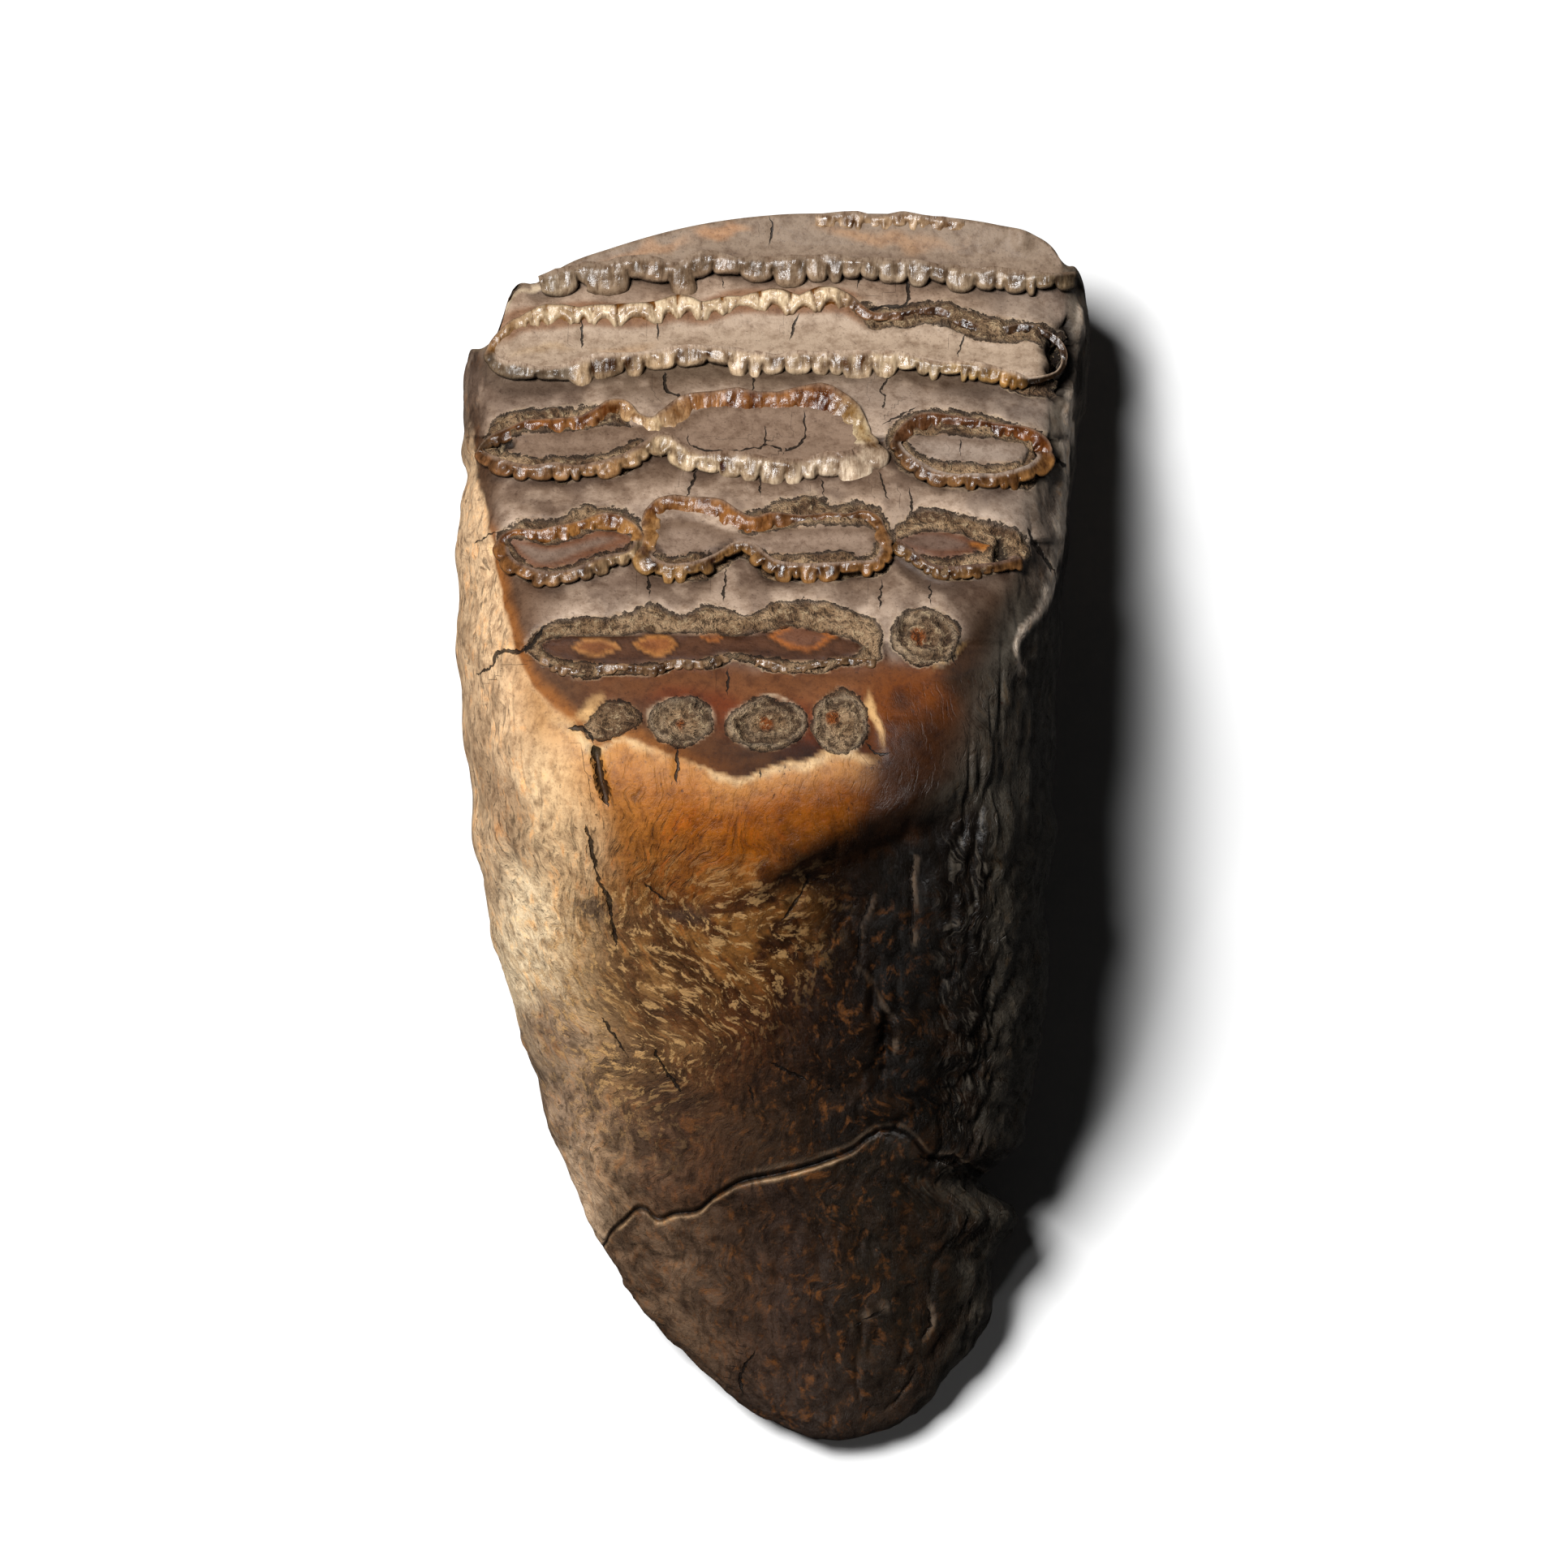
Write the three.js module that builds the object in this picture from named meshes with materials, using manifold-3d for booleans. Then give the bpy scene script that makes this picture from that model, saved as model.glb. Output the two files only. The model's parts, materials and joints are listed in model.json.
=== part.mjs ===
// A fossil woolly-mammoth molar, as one solid. All sizes are millimetres.
//
// The tooth lies on its base with the chewing table up. +Y runs along the tooth from its unworn heel to
// its worn front end, +X runs across it and +Z is up. The origin is the middle of the flat resting spot.
//
// The body is a loft: a cross-section is a rounded box, drawn at many stations along Y. Low bands of
// enamel, one closed loop for each worn plate, are swept along their outlines and joined to it, and the
// break across the heel is cut as a groove.
import * as THREE from "three";
import { mergeVertices } from "three/addons/utils/BufferGeometryUtils.js";
import Module from "manifold-3d";

const wasm = await Module();
wasm.setup();

// ---- Driving dimensions ----------------------------------------------------------------------------

const FRONT_Y = 74.2; // worn front end
const HEEL_Y = -78.6; // tip of the unworn heel
const NOSE_LENGTH = 18.6; // the heel rounds off over this length
const PLATE_PITCH = 12.2; // from one enamel plate to the next
const RIB_HEIGHT = 0.7; // how far the plates stand out of the flanks
const ROOT_RIB_HEIGHT = 1.1; // and out of the underside
const ENAMEL_HEIGHT = 1.1; // worn enamel above the table
const ENAMEL_WIDTH = 1.9;
const CRIMP = 0.35; // side-to-side fold of the enamel
const FRONT_UNDERCUT = 5; // the front end slopes back by this much at its base

// y, left edge x, right edge x, crest z, base z
const PROFILE = [
  [74.2, -38.0, 39.4, 24.5, 5],
  [66, -38.3, 39.6, 27, 3],
  [58, -38.2, 39.0, 31, 1.6],
  [48, -38.0, 37.8, 39, 0.6],
  [40, -38.9, 37.1, 46, 0],
  [30, -39.1, 36.6, 54.8, -0.7],
  [20, -38.8, 35.9, 62.3, -0.9],
  [10, -38.1, 35.2, 67.2, -0.9],
  [4, -37.4, 35.2, 68.6, -0.8],
  [-2, -36.8, 35.1, 67.6, -0.5],
  [-10, -35.6, 34.1, 62.8, 0],
  [-20, -33.3, 34.3, 54, 0.6],
  [-30, -30.4, 33.5, 45, 1.1],
  [-38, -28.0, 31.9, 37.4, 1.5],
  [-42.5, -26.4, 31.2, 33.8, 1.7],
  [-45.8, -25.0, 26.6, 31.2, 1.8],
  [-50.5, -22.8, 30.9, 27.2, 2.1],
  [-54, -21.2, 28.5, 24.2, 2.3],
  [-60, -17.9, 28.0, 19.6, 2.6],
  [-65, -14.4, 27.4, 16, 2.8],
  [-70, -11.5, 26.3, 13.2, 3],
  [-75, -9.7, 26.2, 10.6, 3.2],
  [-78.6, -9.5, 27.5, 9.2, 3.4],
];

// y, how square the left and right shoulders are, how upright the flanks are
const SHAPE = [
  [74.2, 26, 26, 1.7],
  [58, 24, 24, 1.7],
  [48, 19, 18, 1.7],
  [40, 14, 14, 1.7],
  [30, 10, 11, 1.7],
  [20, 8, 7, 1.75],
  [10, 6.3, 4.8, 1.8],
  [4, 5.4, 4.0, 1.85],
  [-2, 4.4, 5.0, 1.9],
  [-10, 3.4, 5.4, 2.2],
  [-20, 2.8, 5.8, 2.3],
  [-40, 2.5, 5.0, 2.3],
  [-78.6, 2.2, 2.2, 2.0],
];

// The front end seen from above: x, y
const FRONT_EDGE = [
  [-39.5, 55.5],
  [-37.8, 57.2],
  [-35.4, 57.6],
  [-33.4, 60.2],
  [-32.6, 63.2],
  [-29, 65.6],
  [-25, 68],
  [-20, 69.8],
  [-10, 72.6],
  [0, 74],
  [10, 74.2],
  [20, 73.9],
  [28, 72.8],
  [32.5, 71.6],
  [35.2, 69.6],
  [36.4, 67.7],
  [37.8, 67.6],
  [39, 66],
  [40.2, 62.6],
];

// Enamel outlines on the chewing table, from the front plate back: points x, y along the middle of each
// band, and how high it stands as a share of ENAMEL_HEIGHT.
const ENAMEL = [
  {
    open: true,
    height: 1.1,
    points: [
      [-27.5, 65.4], [-24, 66.2], [-20, 66.8], [-16, 67.8], [-11.5, 67], [-8, 68.4], [-3, 67.8], [3.5, 67.6],
      [10, 68], [16, 67.7], [22, 66.9], [29, 65.9], [33.5, 65.8], [37.6, 66.2],
    ],
  },
  {
    height: 1,
    points: [
      [-31, 60.8], [-27, 61.2], [-19, 61.4], [-11.5, 62.2], [-5, 63], [2, 63], [9.5, 63], [12.5, 61.3],
      [16, 61.5], [20, 62], [24, 60.7], [28, 59.6], [32.5, 59.7], [35.5, 58.2], [36.4, 55.8], [35, 53.8],
      [31.5, 53.4], [27.5, 54], [20, 55.1], [13.5, 56.2], [6, 55.8], [-1, 56.2], [-8, 56.5], [-13, 56.3],
      [-18, 56], [-22, 55.3], [-26, 54.5], [-30, 54.3], [-33.5, 55], [-34.7, 57], [-32.8, 59.7],
    ],
  },
  {
    height: 1.2,
    points: [
      [-35.6, 45], [-34.3, 47], [-31, 48.2], [-25, 49], [-20.5, 49.4], [-17.8, 50], [-16, 48.4],
      [-13.5, 47.7], [-11, 48.8], [-8.5, 50.2], [-3, 50.3], [2.5, 50.8], [8, 50.6], [10.4, 49],
      [11.6, 46.5], [10.8, 44.2], [8, 43.6], [3.5, 42.7], [-2, 43], [-7, 43.2], [-10.2, 43.8],
      [-12.5, 45.6], [-15, 45.2], [-17, 43.5], [-21, 42.5], [-26, 41.8], [-31, 42.4], [-34.5, 43.4],
    ],
  },
  {
    height: 0.9,
    points: [
      [14.5, 46], [16.5, 48.2], [20, 48.9], [25, 48.1], [30, 47], [33.3, 45.2], [33.8, 43], [31.5, 41.4],
      [26.5, 41.1], [21.5, 41.4], [18, 42.7], [15.3, 44.2],
    ],
  },
  {
    height: 1,
    points: [
      [-32.4, 33], [-30, 34.8], [-26, 35.5], [-21.5, 36.2], [-17.8, 35.5], [-16.2, 34], [-17.8, 31.7],
      [-21, 30.2], [-25, 29.2], [-28.5, 29.5], [-31.2, 30.8],
    ],
  },
  {
    height: 1,
    points: [
      [-14.3, 33.2], [-13.4, 36], [-10.5, 37.2], [-6, 36.5], [-2.5, 35.2], [1, 36.4], [6, 37], [11, 36.8],
      [13.6, 35.5], [13.9, 33], [13, 30.9], [9, 30.5], [5, 29.7], [0.5, 30.2], [-2.5, 32], [-6, 30.5],
      [-9.5, 29.8], [-12.8, 30.5],
    ],
  },
  {
    height: 0.9,
    points: [
      [15.9, 33.2], [17.5, 35.6], [21.5, 36.2], [26.5, 35.5], [30, 34.2], [31.6, 32], [29.5, 30.3],
      [25, 29.6], [20.5, 29.7], [17.6, 31],
    ],
  },
  {
    height: 0.6,
    points: [
      [-28.4, 20], [-26, 22.5], [-21, 23.3], [-16, 24], [-11, 23.5], [-6, 24.3], [-2, 23.7], [4, 25],
      [9, 23.8], [12.6, 22.3], [13, 19.6], [9.5, 18], [4, 17.6], [-2, 18.3], [-8, 18.3], [-15, 17.8],
      [-21, 17.4], [-26, 18.2],
    ],
  },
  { height: 0.6, ring: [18.8, 21.5, 3.7, 3.0] },
  { height: 0.5, ring: [-19.3, 11.1, 2.9, 2.2] },
  { height: 0.5, ring: [-10.8, 11.2, 3.1, 2.4] },
  { height: 0.5, ring: [-0.5, 10.8, 4.5, 2.6] },
  { height: 0.5, ring: [8.5, 11.0, 3.0, 3.3] },
];

// The break across the heel: x, y along the groove
const BREAK = [
  [-22.5, -54.5], [-19.5, -51.6], [-17.6, -49.6], [-14.5, -49.8], [-11, -49.2], [-7, -47.4], [-2, -45.4],
  [3, -43.8], [8, -42.0], [12, -40.4], [15.5, -39.8], [18, -41], [21, -43], [25, -44.6], [28.5, -45.8],
];
const BREAK_WIDTH = 1.1;
const BREAK_DEPTH = 1.4;

// Pits: centre x, y, then half-sizes across, along and down
const PITS = [
  [35.6, 56, 2.4, 3.4, 2.2], // the lost end of the second plate
  [14.2, -27.5, 1.1, 3.2, 1.6], // on the heel
  [-4, 5, 1.3, 1.2, 1.8], // under the worn edge
  [-27, -42.5, 1.4, 2.2, 1.2], // beside the break
];

// Mesh density
const TOP_CELLS = 18;
const FLANK_CELLS = 6;
const BASE_CELLS = 9;
const RING_STEP = 3.5; // between stations
const BAND_STEP = 2.9; // along an enamel band
const ISLET_STEP = 1.9; // along the small rings

// ---- Curves and small helpers ----------------------------------------------------------------------

const clamp = (v, low, high) => Math.min(high, Math.max(low, v));

function smoothstep(from, to, v) {
  const t = clamp((v - from) / (to - from), 0, 1);
  return t * t * (3 - 2 * t);
}

// A smooth curve through rows of [key, value, value, ...], keys in either order.
function through(rows) {
  const sorted = [...rows].sort((a, b) => a[0] - b[0]);
  const count = sorted[0].length - 1;
  const last = sorted.length - 1;
  const slope = (i, c) => {
    const secant = (j) => (sorted[j + 1][c] - sorted[j][c]) / (sorted[j + 1][0] - sorted[j][0]);
    if (i === 0) return secant(0);
    if (i === last) return secant(last - 1);
    const before = sorted[i][0] - sorted[i - 1][0];
    const after = sorted[i + 1][0] - sorted[i][0];
    return (secant(i - 1) * after + secant(i) * before) / (before + after);
  };
  const slopes = sorted.map((_, i) => Array.from({ length: count }, (__, c) => slope(i, c + 1)));
  return (key) => {
    const k = clamp(key, sorted[0][0], sorted[last][0]);
    let i = 0;
    while (i < last - 1 && sorted[i + 1][0] < k) i++;
    const span = sorted[i + 1][0] - sorted[i][0];
    const t = (k - sorted[i][0]) / span;
    return slopes[i].map((m, c) => {
      const rise = (3 - 2 * t) * t * t;
      return (
        sorted[i][c + 1] * (1 - rise) +
        sorted[i + 1][c + 1] * rise +
        span * t * (1 - t) * (m * (1 - t) - slopes[i + 1][c] * t)
      );
    });
  };
}

const profile = through(PROFILE);
const shape = through(SHAPE);
const frontEdge = through(FRONT_EDGE);

// ---- The body's surface ----------------------------------------------------------------------------

// Everything the cross-section needs at station y.
function station(y) {
  const [left, right, , base] = profile(y);
  const [squareLeft, squareRight, upright] = shape(y);
  const intoNose = clamp((HEEL_Y + NOSE_LENGTH - y) / NOSE_LENGTH, 0, 1);
  const nose = Math.sqrt(1 - intoNose ** 2);
  const middle = (left + right) / 2;
  const widest = 0.3 + 0.15 * smoothstep(-60, 0, y);
  return {
    middle,
    left: (middle - left) * nose,
    right: (right - middle) * nose,
    base,
    squareLeft,
    squareRight,
    upright,
    thickness: (1 - intoNose ** 5) ** 0.4,
    widest,
  };
}

// The front end is not square to the tooth: its edge pulls the last stations back.
const pullBack = (x, y) => (FRONT_Y - frontEdge(x)[0]) * smoothstep(28, FRONT_Y, y);

// Seen from the side, the front end slopes back towards its base.
function undercut(y, z) {
  const [, , top, base] = profile(y);
  const share = clamp((z - base) / (top - base), 0, 1);
  return FRONT_UNDERCUT * (1 - share) ** 1.4 * smoothstep(20, FRONT_Y, y);
}

// Below the amber lip on the right, the heel is hollowed.
function hollow(x, y) {
  const [ax, ay, bx, by] = [-1, -7, 24, 5];
  const length = Math.hypot(bx - ax, by - ay);
  const along = ((x - ax) * (bx - ax) + (y - ay) * (by - ay)) / length;
  const below = ((x - ax) * (by - ay) - (y - ay) * (bx - ax)) / length;
  const depth = smoothstep(0, 5, below) * Math.exp(-((Math.max(below - 5, 0) / 15) ** 2));
  return 3.4 * depth * smoothstep(-8, 8, along) * smoothstep(32, 22, x);
}

// Height of the upper surface over a point of the table or the heel.
function surfaceHeight(x, y) {
  let nominal = y;
  for (let i = 0; i < 12; i++) nominal = y + pullBack(x, nominal);
  const s = station(nominal);
  const across = x < s.middle ? (x - s.middle) / s.left : (x - s.middle) / s.right;
  const square = x < s.middle ? s.squareLeft : s.squareRight;
  const rise = Math.max(0, 1 - Math.abs(across) ** square) ** (1 / s.upright);
  const top = profile(y)[2];
  const middle = s.base + (top - s.base) * s.widest;
  return middle + rise * (top - middle) * s.thickness - hollow(x, y);
}

// One point of the surface: station y, and a, b on the outline of the square from -1 to 1.
function bodyPoint(y, a, b) {
  const s = station(y);
  const square = b < 0 ? 4 : a < 0 ? s.squareLeft : s.squareRight;
  const upright = b < 0 ? 1.9 : s.upright;
  let [low, high] = [0.3, 1];
  for (let i = 0; i < 24; i++) {
    const k = (low + high) / 2;
    const size = Math.abs(k * a) ** square + Math.abs(k * b) ** upright;
    if (size > 1) high = k;
    else low = k;
  }
  const across = a * low;
  const up = b * low;
  const flank = smoothstep(0.7, 1, Math.abs(across));
  const rib = Math.cos((2 * Math.PI * (y - 33)) / PLATE_PITCH);
  const smooth = s.middle + across * (across < 0 ? s.left : s.right);
  const ribHeight = RIB_HEIGHT * (1 - 0.7 * smoothstep(-0.7, -0.1, up)) * smoothstep(HEEL_Y, -50, y);
  const x = smooth + Math.sign(across) * flank * rib * ribHeight;
  const yTop = y - pullBack(smooth, y);
  const top = profile(yTop)[2];
  const middle = s.base + (top - s.base) * s.widest;
  let z = middle;
  if (up > 0) z += up * ((top - middle) * s.thickness - hollow(x, yTop));
  else z += up * (middle - s.base) * s.thickness;
  const fromSpot = Math.abs(x) + Math.abs(y - 12) * 0.6;
  if (up < 0) z += ROOT_RIB_HEIGHT * (1 - rib) * 0.5 * up * up * smoothstep(16, 30, fromSpot);
  return [x, yTop - undercut(y, z), z];
}

// The square's outline, once round, as [a, b] pairs.
function squareOutline() {
  const sides = [
    [TOP_CELLS, (t) => [-1 + 2 * t, 1]],
    [FLANK_CELLS, (t) => [1, 1 - 2 * t]],
    [BASE_CELLS, (t) => [1 - 2 * t, -1]],
    [FLANK_CELLS, (t) => [-1, -1 + 2 * t]],
  ];
  return sides.flatMap(([cells, at]) => Array.from({ length: cells }, (_, i) => at(i / cells)));
}

// Closes a stack of rings of points into a solid's triangles. The ends close on their middle points.
function solidFromRings(rings, closedAlong = false) {
  const round = rings[0].length;
  const positions = rings.flat(2);
  const faces = [];
  const id = (i, j) => (i % rings.length) * round + (j % round);
  for (let i = 0; i < rings.length - (closedAlong ? 0 : 1); i++)
    for (let j = 0; j < round; j++)
      faces.push(id(i, j), id(i, j + 1), id(i + 1, j), id(i + 1, j), id(i, j + 1), id(i + 1, j + 1));
  if (!closedAlong)
    for (const end of [0, rings.length - 1]) {
      const centre = positions.length / 3;
      const mean = [0, 1, 2].map((c) => rings[end].reduce((sum, p) => sum + p[c], 0) / round);
      positions.push(...mean);
      for (let j = 0; j < round; j++)
        if (end === 0) faces.push(centre, id(end, j + 1), id(end, j));
        else faces.push(centre, id(end, j), id(end, j + 1));
    }
  const geometry = new THREE.BufferGeometry();
  geometry.setAttribute("position", new THREE.Float32BufferAttribute(positions, 3));
  geometry.setIndex(faces);
  return geometry;
}

function toManifold(geometry) {
  const bare = geometry.clone();
  bare.deleteAttribute("normal");
  bare.deleteAttribute("uv");
  const merged = mergeVertices(bare, 1e-4);
  const made = new wasm.Manifold(
    new wasm.Mesh({
      numProp: 3,
      vertProperties: new Float32Array(merged.attributes.position.array),
      triVerts: new Uint32Array(merged.index.array),
    }),
  );
  if (made.volume() < 0) throw new Error("a solid is inside out");
  return made;
}

function fromManifold(solid) {
  const mesh = solid.getMesh();
  const geometry = new THREE.BufferGeometry();
  geometry.setAttribute("position", new THREE.BufferAttribute(mesh.vertProperties, 3));
  geometry.setIndex(new THREE.BufferAttribute(mesh.triVerts, 1));
  return geometry;
}

// A ring of the front face: the outline of the first station, shrunk to a share of its size.
function frontRing(share) {
  const ring = squareOutline().map(([a, b]) => bodyPoint(FRONT_Y, a, b));
  const [midX, midZ] = [0, 2].map((c) => ring.reduce((sum, p) => sum + p[c], 0) / ring.length);
  return ring.map(([outerX, , outerZ]) => {
    const x = midX + (outerX - midX) * share;
    const z = midZ + (outerZ - midZ) * share;
    return [x, FRONT_Y - pullBack(x, FRONT_Y) - undercut(FRONT_Y, z), z];
  });
}

function makeBody() {
  const ringAt = (y) => squareOutline().map(([a, b]) => bodyPoint(y, a, b));
  const rings = [0.3, 0.6, 0.78, 0.89, 0.97].map(frontRing);
  const first = FRONT_Y - 0.7;
  const noseStart = HEEL_Y + NOSE_LENGTH;
  const stations = Math.round((first - noseStart) / RING_STEP);
  for (let i = 0; i <= stations; i++) rings.push(ringAt(first + ((noseStart - first) * i) / stations));
  const noseRings = 10;
  for (let i = 1; i < noseRings; i++) {
    const angle = (Math.PI / 2) * (i / noseRings);
    rings.push(ringAt(noseStart - NOSE_LENGTH * Math.sin(angle)));
  }
  return toManifold(solidFromRings(rings.reverse()));
}

// ---- Enamel bands and the break ----------------------------------------------------------------------

function bandPath({ points, ring, open }) {
  const flat = ring
    ? Array.from({ length: 8 }, (_, i) => {
        const angle = (-2 * Math.PI * i) / 8;
        return [ring[0] + ring[2] * Math.cos(angle), ring[1] + ring[3] * Math.sin(angle)];
      })
    : points;
  return new THREE.CatmullRomCurve3(
    flat.map(([x, y]) => new THREE.Vector3(x, y, 0)),
    !open,
    "centripetal",
  );
}

// Sweeps a profile of [across, up] points along a path on the upper surface.
function sweepOnSurface(path, closed, step, section, crimp = 0) {
  const count = Math.max(8, Math.round(path.getLength() / step / 2) * 2);
  const rings = [];
  for (let i = 0; i < count + (closed ? 0 : 1); i++) {
    const p = path.getPointAt(i / count);
    const t = path.getTangentAt(i / count);
    const shift = i % 2 ? crimp : -crimp;
    const swell = 1 + (crimp ? 0.18 * Math.sin(i * 2.3) : 0);
    const height = surfaceHeight(p.x, p.y);
    rings.push(
      section.map(([across, up]) => {
        const offset = across * swell + shift;
        return [p.x - t.y * offset, p.y + t.x * offset, height + up];
      }),
    );
  }
  return toManifold(solidFromRings(rings, closed));
}

function makeBand(band) {
  const w = ENAMEL_WIDTH / 2;
  const h = ENAMEL_HEIGHT * band.height;
  const crowned = [
    [w, -1.6],
    [0.72 * w, 0.75 * h],
    [-0.1 * w, h],
    [-0.78 * w, 0.7 * h],
    [-w, -1.6],
  ];
  const flat = [
    [0.8 * w, -1.6],
    [0.5 * w, h],
    [-0.5 * w, h],
    [-0.8 * w, -1.6],
  ];
  const path = bandPath(band);
  if (band.ring) return sweepOnSurface(path, true, ISLET_STEP, flat);
  return sweepOnSurface(path, !band.open, BAND_STEP, band.height < 0.8 ? flat : crowned, CRIMP);
}

function makeBreak() {
  const w = BREAK_WIDTH / 2;
  const section = [
    [0, -BREAK_DEPTH],
    [w * 0.8, 0],
    [w * 2, 3],
    [-w * 2, 3],
    [-w * 0.8, 0],
  ];
  return sweepOnSurface(bandPath({ points: BREAK, open: true }), false, 3, section);
}

function makePit([x, y, across, along, down]) {
  const pit = new THREE.IcosahedronGeometry(1, 1);
  pit.scale(across, along, down);
  pit.translate(x, y, surfaceHeight(x, y));
  return toManifold(pit);
}

// A box below the floor plane that cuts the flat resting spot.
function belowFloor() {
  const box = new THREE.BoxGeometry(120, 200, 20);
  box.translate(0, 0, -10);
  return toManifold(box);
}

function makeMolar() {
  let solid = makeBody();
  for (const band of ENAMEL) solid = solid.add(makeBand(band));
  for (const pit of PITS) solid = solid.subtract(makePit(pit));
  return solid.subtract(makeBreak()).subtract(belowFloor());
}

// ---- The part ----------------------------------------------------------------------------------------

const fossil = new THREE.MeshStandardMaterial({ color: 0x8a6a48, roughness: 0.5, metalness: 0 });
const molar = new THREE.Mesh(fromManifold(makeMolar()), fossil);
molar.name = "molar";

const group = new THREE.Group();
group.add(molar);

export default group;
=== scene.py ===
# %% [markdown]
# # A fossil mammoth molar
#
# A mammoth's cheek tooth is a row of flat plates. Each plate is a pocket of hard enamel filled with softer
# dentine, and grey cement glues the plates together. Chewing grinds the soft tissues faster than the
# enamel, so on the worn table every plate shows as a crinkled ridge that runs round a shallow basin. Behind
# the table the unworn heel slopes down, still wrapped in cement, which thousands of years in the ground
# have stained from cream and amber to nearly black.
#
# The tooth is modelled as surfaces worked out with numpy: one closed body, and the enamel as crinkled
# ribbons swept along the outline of each plate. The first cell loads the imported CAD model, which fixes the
# size.

import itertools
import json
import math
import types

import bpy
import mathutils
import numpy as np
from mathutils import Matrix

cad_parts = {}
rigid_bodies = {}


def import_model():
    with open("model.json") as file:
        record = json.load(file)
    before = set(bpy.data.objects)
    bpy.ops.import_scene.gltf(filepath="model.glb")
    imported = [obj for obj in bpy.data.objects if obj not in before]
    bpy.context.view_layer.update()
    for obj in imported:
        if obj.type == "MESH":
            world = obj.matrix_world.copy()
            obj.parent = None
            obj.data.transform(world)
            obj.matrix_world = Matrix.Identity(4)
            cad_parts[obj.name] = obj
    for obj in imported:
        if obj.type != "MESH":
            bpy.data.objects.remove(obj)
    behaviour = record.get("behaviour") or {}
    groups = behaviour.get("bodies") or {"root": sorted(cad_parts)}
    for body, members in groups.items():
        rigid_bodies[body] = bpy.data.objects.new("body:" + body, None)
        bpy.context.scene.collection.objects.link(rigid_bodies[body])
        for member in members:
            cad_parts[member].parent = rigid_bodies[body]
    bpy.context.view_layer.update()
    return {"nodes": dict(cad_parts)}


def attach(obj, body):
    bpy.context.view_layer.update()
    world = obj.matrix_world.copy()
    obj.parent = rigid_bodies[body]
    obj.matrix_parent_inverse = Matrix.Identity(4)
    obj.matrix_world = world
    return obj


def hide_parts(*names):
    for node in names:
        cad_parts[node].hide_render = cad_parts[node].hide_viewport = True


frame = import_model()
MM = 0.001  # all shapes below are worked out in millimetres
random = np.random.default_rng(12)
print("nodes:", sorted(frame["nodes"]))

# %% [markdown]
# ## Small tools
#
# Nearly everything on this tooth is a smooth blend between a few listed values, or smooth noise. The blends
# could be Blender curves, but a few lines of numpy keep the numbers beside the shape that they make.

# %% Blends


def smoothstep(start, end, value):
    """0 before start, 1 after end, and the S-curve 3t^2 - 2t^3 between them."""
    t = np.clip((value - start) / (end - start), 0, 1)
    return t * t * (3 - 2 * t)


def through(rows):
    """A smooth curve through rows of [key, value, ...]: cubic pieces that share a slope where they meet."""
    rows = np.array(sorted(rows), float)
    keys, values = rows[:, 0], rows[:, 1:]
    span = np.diff(keys)
    secant = np.diff(values, axis=0) / span[:, None]
    inner = (secant[:-1] * span[1:, None] + secant[1:] * span[:-1, None]) / (span[:-1] + span[1:])[:, None]
    slope = np.vstack([secant[:1], inner, secant[-1:]])

    def at(key):
        key = np.clip(key, keys[0], keys[-1])
        i = np.clip(np.searchsorted(keys, key) - 1, 0, len(span) - 1)
        t = ((key - keys[i]) / span[i])[..., None]
        rise = t * t * (3 - 2 * t)
        bend = t * (1 - t) * (slope[i] * (1 - t) - slope[i + 1] * t)
        return values[i] * (1 - rise) + values[i + 1] * rise + span[i][..., None] * bend

    return at


print("a third of the way, a blend is at", round(float(smoothstep(0, 3, 1)), 2))

# %% Noise
lattice = random.random((32, 32, 32))


def noise(points, size, seed=0):
    """Smooth noise from -1 to 1: random numbers on cells of that size, blended from corner to corner."""
    q = points / np.asarray(size, float) + 5.37 * seed
    cell = np.floor(q).astype(int)
    share = q - cell
    share = share * share * (3 - 2 * share)
    total = np.zeros(q.shape[:-1])
    for corner in itertools.product((0, 1), repeat=3):
        weight = np.prod(np.where(corner, share, 1 - share), axis=-1)
        i, j, k = np.moveaxis((cell + corner) % 32, -1, 0)
        total += weight * lattice[i, j, k]
    return 2 * total - 1


def fractal(points, size, octaves=3, seed=0):
    """Noise plus half as much at half the size, and so on."""
    size = np.asarray(size, float)
    return sum(noise(points, size / 2**n, seed + 3 * n) / 2**n for n in range(octaves))


print("noise at the origin:", noise(np.zeros((1, 3)), 1)[0].round(2))

# %% [markdown]
# ## The form of the tooth
#
# Seen along its length the tooth is a rounded box: a flat table, upright flanks and a rounded base. One way
# to model it would be to sculpt a box. A loft is easier to keep true to size: every cross-section is a
# superellipse, |x|^n + |z|^m = 1, and a table says how wide, how high and how square it is at each place
# along the tooth. These are the CAD model's own numbers, so the two forms agree.

# %% Sizes along the tooth
FRONT_Y, HEEL_Y, NOSE_LENGTH = 74.2, -78.6, 18.6
PLATE_PITCH, RIB_HEIGHT, ROOT_RIB_HEIGHT, FRONT_UNDERCUT = 12.2, 0.7, 1.1, 5
RIB_Y, REST_SPOT_Y = 33, 12  # the middle of one rib, and of the flat spot that the tooth rests on
BASE_SQUARE, BASE_UPRIGHT = 4, 1.9

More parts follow.
